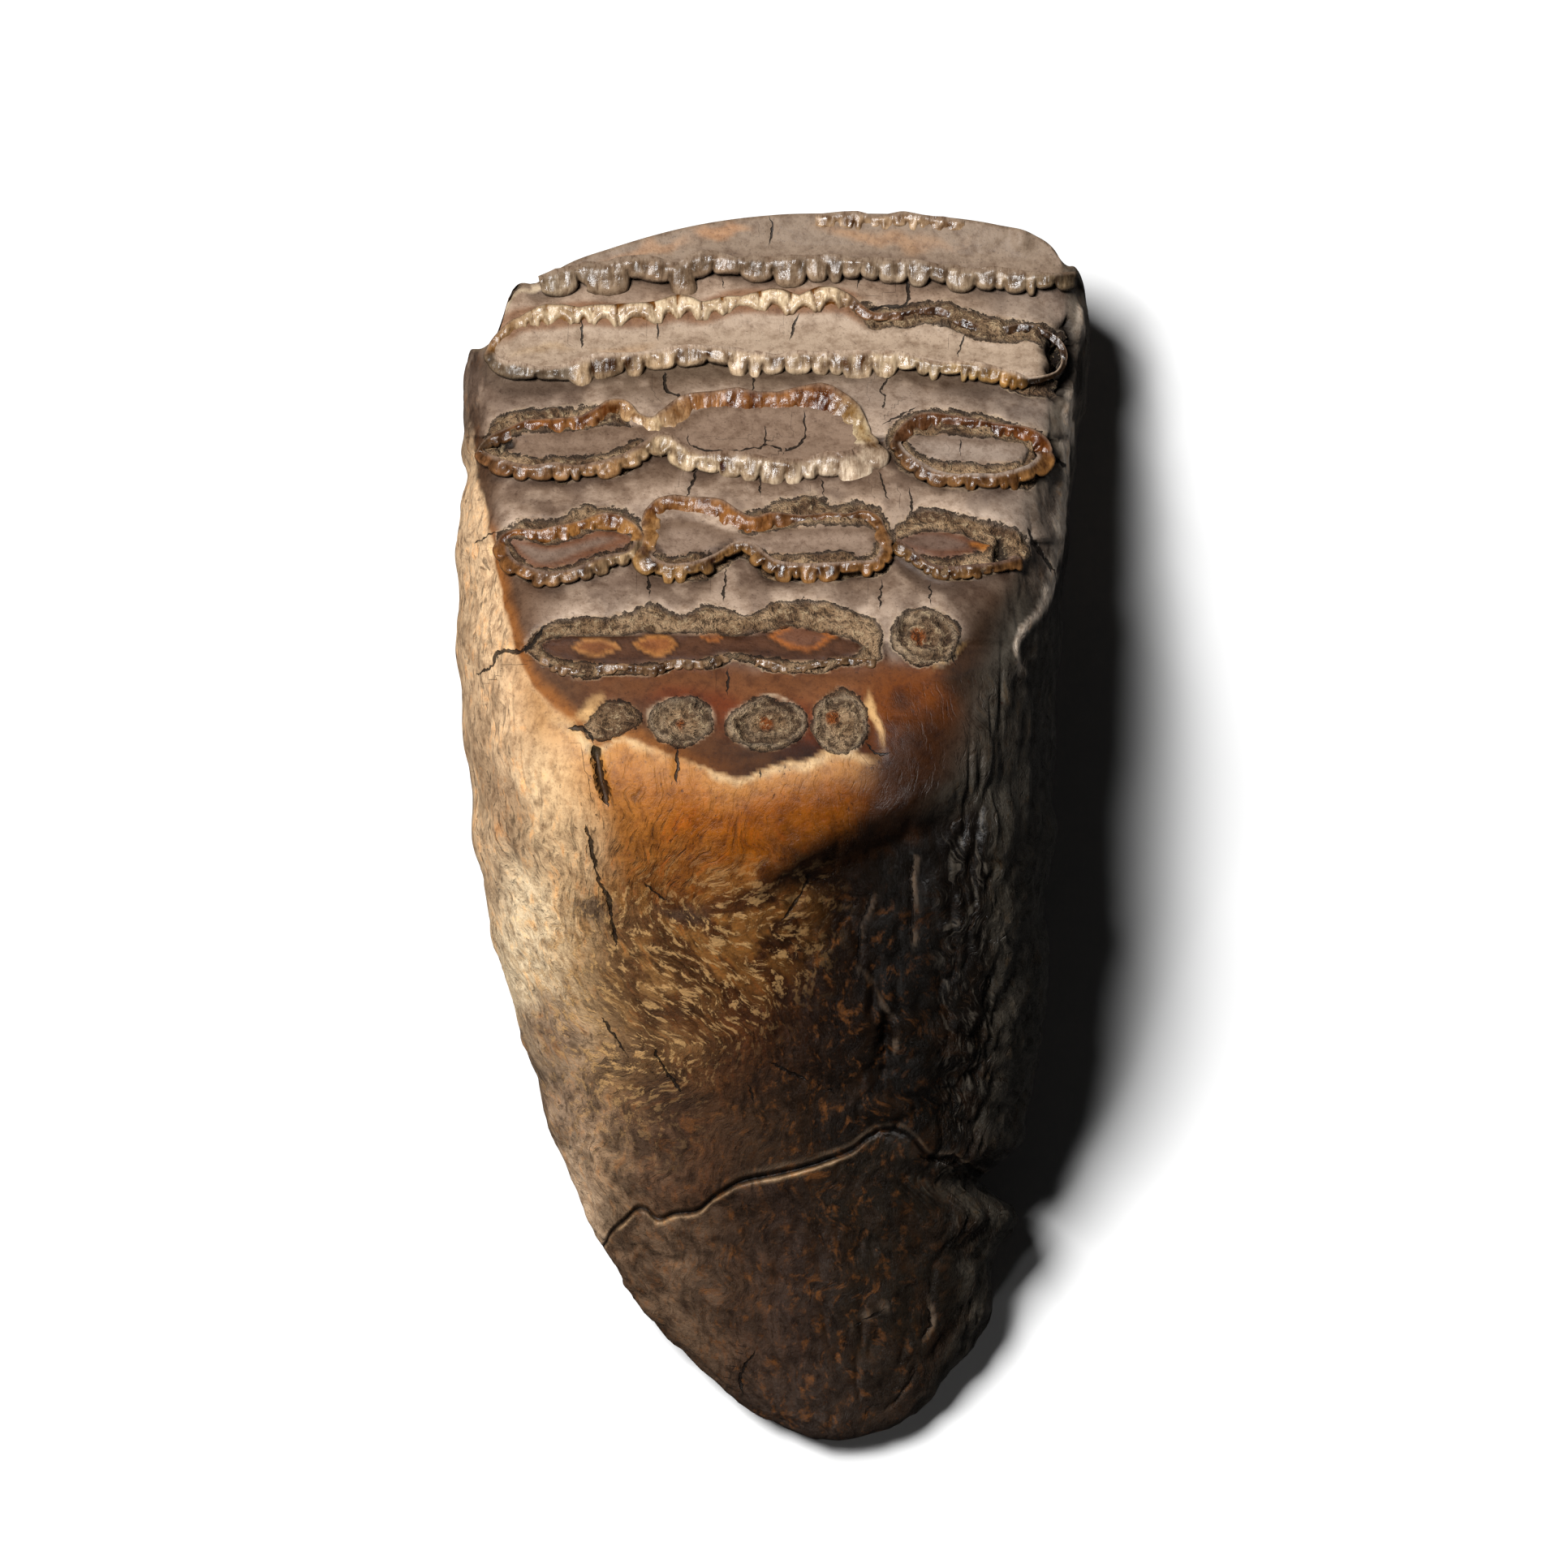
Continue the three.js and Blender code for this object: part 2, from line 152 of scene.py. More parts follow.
# y, left edge, right edge, crest, base
profile = through(
    [
        [74.2, -38.0, 39.4, 24.5, 5], [66, -38.3, 39.6, 27, 3], [58, -38.2, 39.0, 31, 1.6],
        [48, -38.0, 37.8, 39, 0.6], [40, -38.9, 37.1, 46, 0], [30, -39.1, 36.6, 54.8, -0.7],
        [20, -38.8, 35.9, 62.3, -0.9], [10, -38.1, 35.2, 67.2, -0.9], [4, -37.4, 35.2, 68.6, -0.8],
        [-2, -36.8, 35.1, 67.6, -0.5], [-10, -35.6, 34.1, 62.8, 0], [-20, -33.3, 34.3, 54, 0.6],
        [-30, -30.4, 33.5, 45, 1.1], [-38, -28.0, 31.9, 37.4, 1.5], [-42.5, -26.4, 31.2, 33.8, 1.7],
        [-45.8, -25.0, 26.6, 31.2, 1.8], [-50.5, -22.8, 30.9, 27.2, 2.1], [-54, -21.2, 28.5, 24.2, 2.3],
        [-60, -17.9, 28.0, 19.6, 2.6], [-65, -14.4, 27.4, 16, 2.8], [-70, -11.5, 26.3, 13.2, 3],
        [-75, -9.7, 26.2, 10.6, 3.2], [-78.6, -9.5, 27.5, 9.2, 3.4],
    ]
)
# y, how square the left and right shoulders are, how upright the flanks are
shape = through(
    [
        [74.2, 26, 26, 1.7], [58, 24, 24, 1.7], [48, 19, 18, 1.7], [40, 14, 14, 1.7], [30, 10, 11, 1.7],
        [20, 8, 7, 1.75], [10, 6.3, 4.8, 1.8], [4, 5.4, 4.0, 1.85], [-2, 4.4, 5.0, 1.9],
        [-10, 3.4, 5.4, 2.2], [-20, 2.8, 5.8, 2.3], [-40, 2.5, 5.0, 2.3], [-78.6, 2.2, 2.2, 2.0],
    ]
)
# the front end seen from above: x, y
front_edge = through(
    [
        [-39.5, 55.5], [-37.8, 57.2], [-35.4, 57.6], [-33.4, 60.2], [-32.6, 63.2], [-29, 65.6], [-25, 68],
        [-20, 69.8], [-10, 72.6], [0, 74], [10, 74.2], [20, 73.9], [28, 72.8], [32.5, 71.6], [35.2, 69.6],
        [36.4, 67.7], [37.8, 67.6], [39, 66], [40.2, 62.6],
    ]
)
print("the tooth is", round(FRONT_Y - HEEL_Y, 1), "mm long")

# %% Cross-sections


def section(y):
    """The cross-section at y: its middle, half-widths and base, how square each shoulder is, how upright
    the flanks are, the share of its thickness that the rounded nose leaves, and how far up it is widest."""
    left, right, _, base = np.moveaxis(profile(y), -1, 0)
    square_left, square_right, upright = np.moveaxis(shape(y), -1, 0)
    into_nose = np.clip((HEEL_Y + NOSE_LENGTH - y) / NOSE_LENGTH, 0, 1)
    nose = np.sqrt(1 - into_nose**2)
    thickness = (1 - into_nose**5) ** 0.4
    middle = (left + right) / 2
    half_widths = (middle - left) * nose, (right - middle) * nose
    widest = 0.3 + 0.15 * smoothstep(-60, 0, y)
    return middle, half_widths, base, (square_left, square_right), upright, thickness, widest


def pull_back(x, y):
    """How far the slanting front edge pulls a station back at x."""
    return (FRONT_Y - front_edge(x)[..., 0]) * smoothstep(28, FRONT_Y, y)


def undercut(y, z):
    """Seen from the side, the front end slopes back towards its base."""
    top, base = profile(y)[..., 2], profile(y)[..., 3]
    share = np.clip((z - base) / (top - base), 0, 1)
    return FRONT_UNDERCUT * (1 - share) ** 1.4 * smoothstep(20, FRONT_Y, y)


print("half-widths at the middle:", np.round(section(np.array(0.0))[1], 1), "mm")

# %% The hollow under the lip, and the upper surface
LIP_LINE = np.array([[-1, -7], [24, 5]])  # the amber lip overhangs the heel below this line
HOLLOW_DEPTH, HOLLOW_DROP, HOLLOW_RETURN = 3.4, 5, 15


def hollow(x, y):
    """Depth of the hollow under the lip: a quick drop below the line, then a slow return, exp(-r^2)."""
    (ax, ay), (bx, by) = LIP_LINE
    length = math.hypot(bx - ax, by - ay)
    along = ((x - ax) * (bx - ax) + (y - ay) * (by - ay)) / length
    below = ((x - ax) * (by - ay) - (y - ay) * (bx - ax)) / length
    returning = np.exp(-((np.maximum(below - HOLLOW_DROP, 0) / HOLLOW_RETURN) ** 2))
    depth = smoothstep(0, HOLLOW_DROP, below) * returning
    return HOLLOW_DEPTH * depth * smoothstep(-8, 8, along) * (1 - smoothstep(22, 32, x))


def surface_height(x, y):
    """Height of the smooth upper surface over a point."""
    station = np.array(y, float)
    for _ in range(12):
        station = y + pull_back(x, station)
    middle, (left, right), base, (square_left, square_right), upright, thickness, widest = section(station)
    across = np.where(x < middle, (x - middle) / left, (x - middle) / right)
    square = np.where(x < middle, square_left, square_right)
    rise = np.maximum(1e-9, 1 - np.abs(across) ** square) ** (1 / upright)
    top = profile(y)[..., 2]
    level = base + (top - base) * widest
    return level + rise * (top - level) * thickness - hollow(x, y)


print("table height at the middle:", surface_height(np.array(0.0), np.array(30.0)).round(1), "mm")

# %% The whole surface


def body_form(station, a, b, warp=None):
    """Points of the smooth body. a and b run round a square from -1 to 1. The square is drawn in to the
    superellipse |across|^n + |up|^m = 1 by halving steps, and scaled to the size at that station."""
    y = np.array(station, float)
    for _ in range(8 if warp else 1):
        middle, (left, right), base, (square_left, square_right), upright, thickness, widest = section(y)
        square = np.where(b < 0, BASE_SQUARE, np.where(a < 0, square_left, square_right))
        upright = np.where(b < 0, BASE_UPRIGHT, upright)
        low, high = np.full(y.shape, 0.3), np.ones(y.shape)
        for _ in range(22):
            k = (low + high) / 2
            outside = np.abs(k * a) ** square + np.abs(k * b) ** upright > 1
            low, high = np.where(outside, low, k), np.where(outside, k, high)
        across, up = a * low, b * low
        x = middle + across * np.where(across < 0, left, right)
        if warp:
            y = (y + station + warp(x, station)) / 2
    flank = smoothstep(0.7, 1, np.abs(across))
    rib = np.cos(2 * np.pi * (y - RIB_Y) / PLATE_PITCH)
    rib_height = RIB_HEIGHT * (1 - 0.7 * smoothstep(-0.7, -0.1, up)) * smoothstep(HEEL_Y, -50, y)
    y_top = y - pull_back(x, y)
    top = profile(y_top)[..., 2]
    level = base + (top - base) * widest
    upper = level + up * ((top - level) * thickness - hollow(x, y_top))
    from_spot = np.abs(x) + np.abs(y - REST_SPOT_Y) * 0.6
    root_rib = ROOT_RIB_HEIGHT * (1 - rib) * 0.5 * up**2 * smoothstep(16, 30, from_spot)
    lower = level + up * (level - base) * thickness + root_rib
    z = np.where(up > 0, upper, lower)
    x = x + np.sign(across) * flank * rib * rib_height
    return np.stack([x, y_top - undercut(y, z), z], -1)


print("right flank at the middle:", body_form(np.zeros(1), np.ones(1), np.zeros(1))[0].round(1), "mm")

# %% [markdown]
# ## The grid
#
# The body is one grid of points: columns run round the cross-section and rows run along the tooth. Rows are
# close together on the worn table, where there is the most to see. An old break crosses the heel, and a
# groove only looks sharp when grid lines follow it. So the rows near it are bent to lie along the break.

# %% The break's line
BREAK = [
    [-24, -56.5], [-20.9, -54.2], [-19.8, -52.3], [-18.0, -50.6], [-16.8, -49.4], [-15.3, -49.5],
    [-14.4, -50.5], [-12, -50.0], [-9, -49.5], [-7, -47.8], [-4.5, -46.2], [0, -45.0], [5, -43.8],
    [10, -41.8], [12.5, -40.0], [15, -39.6], [17.5, -40.5], [20, -43.2], [22.5, -43.3], [25, -44.8],
    [27.5, -45.6], [31, -46.2],
]
BREAK_STATION, BREAK_REACH = -46.2, 13
break_line = through(BREAK)


def bend_to_break(x, station):
    """Moves the rows near the break so that one of them lies along it."""
    near = np.exp(-(((station - BREAK_STATION) / BREAK_REACH) ** 2))
    return (break_line(x)[..., 0] - BREAK_STATION) * near


print("the break has", len(BREAK), "points")

# %% The grid's rows and columns
TOP_CELLS, FLANK_CELLS, BASE_CELLS = 192, 34, 34
TABLE_STEP, HEEL_STEP = 0.455, 0.64  # mm from row to row


def square_outline():
    """Once round the square, as arrays a and b: top, right flank, base, left flank."""
    top = np.linspace(-1, 1, TOP_CELLS, endpoint=False)
    flank = 1 - 2 * np.linspace(0, 1, FLANK_CELLS, endpoint=False) ** 1.25
    base = np.linspace(1, -1, BASE_CELLS, endpoint=False)
    other = -1 + 2 * (1 - np.linspace(1, 0, FLANK_CELLS, endpoint=False) ** 1.25)
    ones = np.ones_like
    a = np.concatenate([top, ones(flank), base, -ones(other)])
    b = np.concatenate([ones(top), flank, -ones(base), other])
    return a, b


near_break = np.array([2.6, 2, 1.5, 1.1, 0.85, 0.7, 0.55, 0.4, 0.2, 0])
rows = np.concatenate(
    [
        np.arange(FRONT_Y - 0.5, 2, -TABLE_STEP),
        np.arange(1.8, -42.8, -HEEL_STEP),
        BREAK_STATION + near_break,
        BREAK_STATION - near_break[-2::-1],
        np.arange(-49.4, -59.8, -HEEL_STEP),
        -60 - NOSE_LENGTH * np.sin(np.radians(np.linspace(0, 88, 32))),
    ]
)
outline_a, outline_b = square_outline()
grid_station = rows[:, None] + 0 * outline_a
grid_a = outline_a + 0 * grid_station
grid_b = outline_b + 0 * grid_station
body = body_form(grid_station, grid_a, grid_b, bend_to_break)
print("grid of", body.shape[0], "rows and", body.shape[1], "columns")

# %% [markdown]
# ## The front face
#
# The tooth ends in a face that slants back towards the base, where the next plate's upright folds show. A
# flat lid would look sawn off. Shrinking the outline in rings lets the grid run on over the edge, so the
# face can be curved and folded, and the shading rolls round its rim.

# %% Rings over the front face
CAP_RINGS = 20
FOLD_DEPTH, FOLD_PITCH = 0.5, 6.5  # mm


def top_edge(x):
    """Where the top edge of the front face runs, seen from above."""
    return FRONT_Y - pull_back(x, np.full(x.shape, FRONT_Y))


def front_face(shares):
    """Rings that fill the front end: its outline shrunk to each share of its size, laid on the curved,
    back-sloping face, with the front plate's upright folds."""
    a, b = outline_a[None], outline_b[None]
    outer = body_form(FRONT_Y + 0 * a, a, b)[0]
    middle = outer.mean(0)
    share = np.array(shares)[:, None]
    x = middle[0] + (outer[:, 0] - middle[0]) * share
    z = middle[2] + (outer[:, 2] - middle[2]) * share
    waves = 1 - np.cos(2 * np.pi * (x + 1.2 * np.sin(z / 9)) / FOLD_PITCH)
    folds = -FOLD_DEPTH * waves * smoothstep(1, 0.7, share)
    y = top_edge(x)
    z = np.minimum(z, surface_height(x, y))
    return np.stack([x, y - undercut(np.full(x.shape, FRONT_Y), z) + folds, z], -1)


cap_shares = 1 - np.linspace(0.985, 0.015, CAP_RINGS) ** 1.5
cap = front_face(cap_shares)
body = np.vstack([cap, body])
n_rows, n_columns = body.shape[:2]
print("with the front face:", n_rows, "rows,", 2 * n_rows * n_columns, "triangles")

# %% [markdown]
# ## The worn plates
#
# Each plate shows on the table as a closed outline of enamel. The outlines are short lists of points, and a
# smooth curve is drawn through them. The distance from a point of the table to the nearest outline says
# which tissue is there: dentine inside, cement outside.

# %% Outlines of the plates
# "points" is a plate's outline, clockwise from its left end. "open" says that it is a line with two ends,
# and "ring" is an ellipse instead: x, y, half-width and half-length. "row" counts from the front end. The
# enamel lies along the outline, or along the open line "enamel", which runs from right to left. Where the
# enamel has crumbled, "crust" is the outer outline of the gritty border and "basin" its inner one. CRUST
# alone says that the border reaches out to the plate's own outline.
CRUST = "outline"
PLATES = [
    dict(
        name="front_rim", row=0, open=True,
        points=[[24, 72.7], [20, 73.1], [15, 73.5], [10, 73.7], [5.5, 73.5]],
    ),
    dict(
        name="front", row=0, open=True,
        points=[
            [38.0, 66.1], [33.5, 65.9], [29, 65.9], [22, 66.9], [16, 67.7], [10, 68], [3.5, 67.6],
            [-3, 67.8], [-8, 68.5], [-11.5, 67], [-16, 67.8], [-20, 66.8], [-23, 67.2], [-26, 65.9],
            [-28.6, 65.2],
        ],
    ),
    dict(
        name="second", row=1,
        points=[
            [-31, 60.8], [-27, 61.2], [-23, 61.7], [-19, 61.4], [-15, 61.5], [-11.5, 62.2], [-8.5, 61.8],
            [-5, 63], [-2, 63.2], [2, 63], [6, 63.3], [9.5, 63], [12.5, 61.3], [16, 61.5], [20, 62],
            [24, 60.7], [28, 59.6], [32.5, 59.7], [35.5, 58.2], [36.3, 55.8], [35, 53.8], [31.5, 53.4],
            [27.5, 54], [23.5, 54.8], [20, 55.1], [17, 55.8], [13.5, 56.2], [10, 55.8], [6, 55.8], [1, 56],
            [-4, 56.2], [-8, 56.5], [-13, 56.3], [-18, 56], [-22, 55.3], [-26, 54.5], [-30, 54.3],
            [-33.5, 55], [-34.7, 57], [-32.8, 59.7],
        ],
        crust=[
            [10, 62.9], [15, 62.6], [20, 63.2], [25, 61.9], [29, 60.9], [33.4, 60.6], [36, 59.5],
            [38.4, 57.5], [38.2, 53.5], [35.6, 51.8], [32.5, 51.6], [29, 52.4], [28.6, 53.7], [32, 53.8],
            [34, 54.6], [34.6, 56.5], [32.6, 58.1], [28, 58], [24, 59.1], [20, 60.3], [15, 59.9],
            [12, 60.2],
        ],
    ),
    dict(
        name="third_left", row=2,
        points=[
            [-36, 44.4], [-34.5, 46], [-31, 47.3], [-26, 47.8], [-22, 48.6], [-18.5, 49.9], [-16.5, 48.4],
            [-14.5, 47.6], [-12.6, 48.2], [-10, 50.1], [-6, 50.6], [0, 50.6], [5, 50.6], [8, 50], [9.8, 49],
            [11.2, 47.4], [11.9, 45.6], [11.3, 44], [9.2, 42.9], [6, 42.7], [2, 42.6], [-2, 42.9],
            [-6, 43.2], [-9.5, 43.4], [-11.8, 44.6], [-13.5, 45.6], [-15.5, 44.9], [-17.5, 43.6],
            [-21, 42.4], [-26, 41.9], [-31, 42.3], [-34.8, 43.3],
        ],
        crust=[
            [-36.2, 46.8], [-33.8, 48.8], [-31, 49.4], [-25, 50], [-19.3, 50.2], [-17.4, 48.2], [-15.4, 46],
            [-16.4, 42.8], [-19, 41.4], [-23.5, 41.4], [-25.5, 40.2], [-27.8, 41], [-32.5, 41.6],
            [-36.2, 43.4], [-36.6, 45.5],
        ],
        basin=[
            [-33, 45.2], [-31.8, 46.2], [-29, 46.7], [-25, 46.9], [-21, 47.5], [-18, 47.6], [-12, 47.8],
            [-5, 51], [12, 51], [12, 43], [-9, 43], [-15, 46], [-18.5, 45], [-20.5, 44.1], [-25, 43.8],
            [-30, 43.8], [-32, 44.3],
        ],
    ),
    dict(
        name="third_right", row=2,
        points=[
            [15.2, 45.8], [16.5, 47.4], [19, 48.6], [23, 48.1], [27, 47.3], [31, 46.7], [33.4, 45.4],
            [33.7, 43.5], [32, 41.9], [29, 41.3], [25, 41.1], [21, 41.3], [17.8, 42.6], [15.9, 44.1],
        ],
        crust=[
            [14.2, 45.5], [14.6, 47.2], [16.5, 48.7], [19, 49.7], [25, 49], [31.2, 47.7], [34.2, 46.2],
            [35.5, 44], [34, 41.4], [31.2, 39.8], [27.5, 40.3], [23, 39.9], [19, 40.7], [15.5, 42.9],
        ],
        basin=[
            [16.8, 45.9], [19, 46.6], [24, 46.2], [28, 45.9], [31, 45.3], [31.8, 44.3], [30, 43.1],
            [25, 43], [21, 43.2], [18, 44.3],
        ],
    ),
    dict(
        name="fourth_left", row=3,
        points=[
            [-33, 33], [-31.5, 34], [-28.5, 33.9], [-25.5, 34.1], [-23, 35.1], [-20, 35.6], [-17.5, 34.9],
            [-16.2, 33.4], [-17, 32], [-19.5, 30.9], [-22.5, 29.6], [-25.5, 28.8], [-28, 28.7],
            [-30.5, 29.9], [-32.4, 31.3],
        ],
        crust=[
            [-33.6, 32.8], [-33, 34.4], [-30, 35.9], [-27, 35.8], [-23.5, 37.3], [-18.5, 37.5],
            [-16.6, 35.6], [-15.6, 33.2], [-17.5, 31.2], [-20, 29.8], [-23, 29], [-26, 28], [-29, 28],
            [-31.5, 29.2], [-33.4, 31],
        ],
        basin=[
            [-32, 33.3], [-30, 33.3], [-27, 32.8], [-24, 33.6], [-21, 34.6], [-18.5, 34.4], [-16.8, 33.3],
            [-18.5, 32.5], [-21, 31.6], [-24, 30.6], [-27, 29.8], [-29, 30], [-31, 31.6],
        ],
    ),
    dict(
        name="fourth_middle", row=3,
        points=[
            [-15, 34.5], [-14.7, 36.5], [-13, 37.3], [-10, 37.2], [-7, 36.8], [-4.5, 35.7], [-2, 35.2],
            [1, 35.9], [5, 36.1], [9, 36], [11.5, 36.4], [13.3, 35.5], [14, 33.5], [13.7, 31.5],
            [12.5, 30.3], [10, 30.1], [7.5, 29.7], [4, 29.5], [1, 29.7], [-0.8, 30.7], [-2.8, 32.4],
            [-4.6, 32.4], [-6.5, 31.2], [-8.5, 30], [-10.5, 29.6], [-13, 29.7], [-15, 31.3],
        ],
        crust=[
            [-4, 36.2], [-1.8, 37.2], [1, 38.2], [5, 39], [8, 38], [12.5, 37.8], [14.3, 36.2], [14.9, 33],
            [14.2, 30], [12, 29.1], [5, 28.3], [0, 28.6], [-2, 30.6], [-4, 31.2], [-6, 29.8], [-8, 28.8],
            [-13, 28.6], [-15, 30.4], [-13.6, 31.4], [-7, 32.2], [-4.6, 33.4],
        ],
        basin=[
            [-14, 34], [-13, 35.8], [-9, 35.6], [-5, 34.4], [-2, 34.1], [2.5, 34.9], [12, 35], [12.8, 33.5],
            [11.8, 31.5], [7.5, 31.9], [2, 31.5], [-3, 32.9], [-5, 33.2], [-8, 32.1], [-12.5, 31.5],
        ],
    ),
    dict(
        name="fourth_right", row=3,
        points=[
            [15, 33.5], [15.1, 35.2], [16.5, 36.2], [18, 37], [20, 37.2], [24, 36.7], [27, 36.1],
            [31.2, 33.8], [32.5, 31.7], [31.2, 30.3], [29, 29.7], [26.5, 29.2], [24, 28.8], [21.5, 28.5],
            [19.5, 29], [17.5, 30.3], [15.8, 31.6],
        ],
        enamel=[
            [30.8, 30.8], [29, 30.4], [26, 29.9], [23, 29.5], [20, 29.8], [18, 30.8], [16.5, 32], [15.2, 33],
        ],
        crust=CRUST,
        basin=[
            [15.6, 33.3], [17, 34], [19.5, 34.5], [22, 34.3], [25, 33.4], [27.2, 32.7], [25.5, 31.9],
            [23, 31.3], [20.5, 31.2], [18, 31.9], [16.4, 32.6],
        ],
    ),
    dict(
        name="fifth", row=4,
        points=[
            [-30.5, 20], [-29.5, 21.5], [-28, 22.9], [-25, 23.6], [-22, 24.1], [-17.5, 24.1], [-15.5, 25],
            [-13.8, 25.3], [-12, 24.4], [-10.5, 24.3], [-8.5, 25.2], [-6.5, 25.3], [-4.5, 24.5],
            [-2.5, 24.3], [0, 25.5], [2.5, 25.9], [5, 25.9], [7, 25.5], [9, 24.6], [13, 23.6], [13.7, 20],
            [13, 18.2], [8, 17.5], [3, 17], [-0.5, 17.7], [-5, 18.6], [-7.5, 17.5], [-10, 18], [-14, 17.1],
            [-16, 16.7], [-19, 17], [-22, 16.4], [-26, 17.4], [-28.5, 18.5],
        ],
        enamel=[
            [12.8, 18.6], [8, 18.1], [3, 17.7], [-0.5, 18.3], [-5, 19], [-8, 18.2], [-12, 18], [-16, 17.5],
            [-20, 17.5], [-24, 17.5], [-28, 19],
        ],
        crust=CRUST,
        basin=[
            [-28, 20.4], [-26, 21.4], [-23, 21.7], [-19, 21.6], [-15, 21.9], [-10, 21.8], [-4, 21.6],
            [-1, 22], [3, 22.5], [6, 22.1], [9, 21.3], [11, 20.5], [10, 19], [4, 18.4], [1, 18.7],
            [-5, 19.3], [-8, 18.7], [-11, 18.3], [-14, 18.2], [-20, 18.1], [-26, 18.8],
        ],
    ),
    dict(name="fifth_ring", row=4, ring=[18.9, 21.4, 4.5, 3.6], crust=CRUST),
    dict(
        name="islet_1", row=5, crust=CRUST,
        points=[
            [-22.8, 10], [-20.4, 13], [-18.6, 13.4], [-16.3, 12.8], [-16, 11.2], [-17.2, 9.8], [-19, 9],
            [-20.8, 8.4],
        ],
    ),
    dict(name="islet_2", row=5, ring=[-10.8, 11.1, 4.0, 2.9], crust=CRUST),
    dict(name="islet_3", row=5, ring=[-0.5, 10.8, 5.0, 3.2], crust=CRUST),
    dict(name="islet_4", row=5, ring=[8.5, 11.0, 3.5, 3.9], crust=CRUST),
]
PLATE = {plate["name"]: plate for plate in PLATES}
print(len(PLATES), "plates")

# %% Smooth lines


def smooth_line(points, step, closed):
    """A Catmull-Rom curve through the points: between two points it is the cubic whose slope at each is
    half the chord between that point's neighbours. It comes back as points one step apart."""
    p = np.array(points, float)
    p = np.vstack([p[-1:], p, p[:2]]) if closed else np.vstack([2 * p[0] - p[1], p, 2 * p[-1] - p[-2]])
    t = np.linspace(0, 1, 12, endpoint=False)[:, None]
    a, b, c, d = (q[:, None] for q in (p[:-3], p[1:-2], p[2:-1], p[3:]))
    slope, bend, twist = c - a, 2 * a - 5 * b + 4 * c - d, 3 * b - a - 3 * c + d
    dense = 0.5 * (2 * b + slope * t + bend * t**2 + twist * t**3)
    dense = np.vstack([dense.reshape(-1, 2), p[-2:-1]])
    length = np.r_[0, np.cumsum(np.linalg.norm(np.diff(dense, axis=0), axis=1))]
    wanted = np.linspace(0, length[-1], max(9, round(length[-1] / step) + 1))
    line = np.stack([np.interp(wanted, length, dense[:, i]) for i in (0, 1)], 1)
    return line[:-1] if closed else line


def plate_line(plate, step):
    """The outline of a plate as points one step apart, clockwise."""
    if "ring" in plate:
        x, y, across, along = plate["ring"]
        angle = np.linspace(np.pi, -np.pi, round(np.pi * (across + along) / step), endpoint=False)
        return np.stack([x + across * np.cos(angle), y + along * np.sin(angle)], 1)
    return smooth_line(plate["points"], step, "open" not in plate)


print("the second plate's outline is", len(plate_line(PLATE["second"], 1)), "mm long")

# %% Distances to lines


def nearest(x, y, line, closed, reach):
    """Distance from points to a line, at most reach and + on its left, and the place along it in mm."""
    start = line if closed else line[:-1]
    step = (np.roll(line, -1, 0) if closed else line[1:]) - start
    length = np.linalg.norm(step, axis=1)
    before = np.r_[0, np.cumsum(length)[:-1]]
    distance, place = np.full(x.shape, float(reach)), np.zeros(x.shape)
    low, high = line.min(0) - reach, line.max(0) + reach
    index = np.flatnonzero(((x > low[0]) & (x < high[0]) & (y > low[1]) & (y < high[1])).ravel())
    for part in np.array_split(index, max(1, len(index) // 6000)):
        px = x.ravel()[part, None] - start[:, 0]
        py = y.ravel()[part, None] - start[:, 1]
        share = np.clip((px * step[:, 0] + py * step[:, 1]) / length**2, 0, 1)
        away = np.hypot(px - share * step[:, 0], py - share * step[:, 1])
        best = away.argmin(1)
        each = np.arange(len(part))
        side = np.sign(step[best, 0] * py[each, best] - step[best, 1] * px[each, best])
        distance.ravel()[part] = np.minimum(away[each, best], reach) * np.where(side == 0, 1, side)
        place.ravel()[part] = before[best] + share[each, best] * length[best]
    return distance, place


REACH = 9
X, Y, Z = np.moveaxis(body, -1, 0)
inside_plate = np.full(X.shape, float(REACH))  # signed distance to the nearest outline, negative inside
row_distance = np.full((6,) + X.shape, float(REACH))
for plate in PLATES:
    away, _ = nearest(X, Y, plate_line(plate, 0.5), "open" not in plate, REACH)
    plate["away"], plate["from_basin"] = away, away
    if "basin" in plate:
        plate["from_basin"], _ = nearest(X, Y, smooth_line(plate["basin"], 0.5, closed=True), True, REACH)
    inside_plate = np.where(np.abs(away) < np.abs(inside_plate), away, inside_plate)
    row_distance[plate["row"]] = np.minimum(row_distance[plate["row"]], np.abs(away))
print("distances to", len(PLATES), "outlines measured")

# %% [markdown]
# ## Relief of the table
#
# Wear cuts steps: behind each plate, on the side that the jaw drags across, the cement is ground into a
# deep gutter, and it climbs again to the next plate. Inside the enamel the dentine is a shallow dish.

# %% Normals, and the height of cement and dentine


def grid_normals(points):
    """The unit normal at each grid point: the cross product of the steps along the row and the column."""
    around = np.roll(points, -1, 1) - np.roll(points, 1, 1)
    along = np.gradient(points, axis=0)
    normal = np.cross(along, around)
    return normal / np.maximum(np.linalg.norm(normal, axis=-1, keepdims=True), 1e-9)


normals = grid_normals(body)
facing_up = smoothstep(0.2, 0.65, normals[..., 2])
ROW_MIDDLES = [67.3, 58.4, 46.3, 33.2, 20.8, 11]

# between two rows of plates: the distance to the row above, to the row below, and the share of the way down
gap = np.clip(sum((Y < middle).astype(int) for middle in ROW_MIDDLES) - 1, 0, 4)
upper = np.take_along_axis(row_distance, gap[None], 0)[0]
lower = np.take_along_axis(row_distance, gap[None] + 1, 0)[0]
climb = upper / (upper + lower + 1e-6)
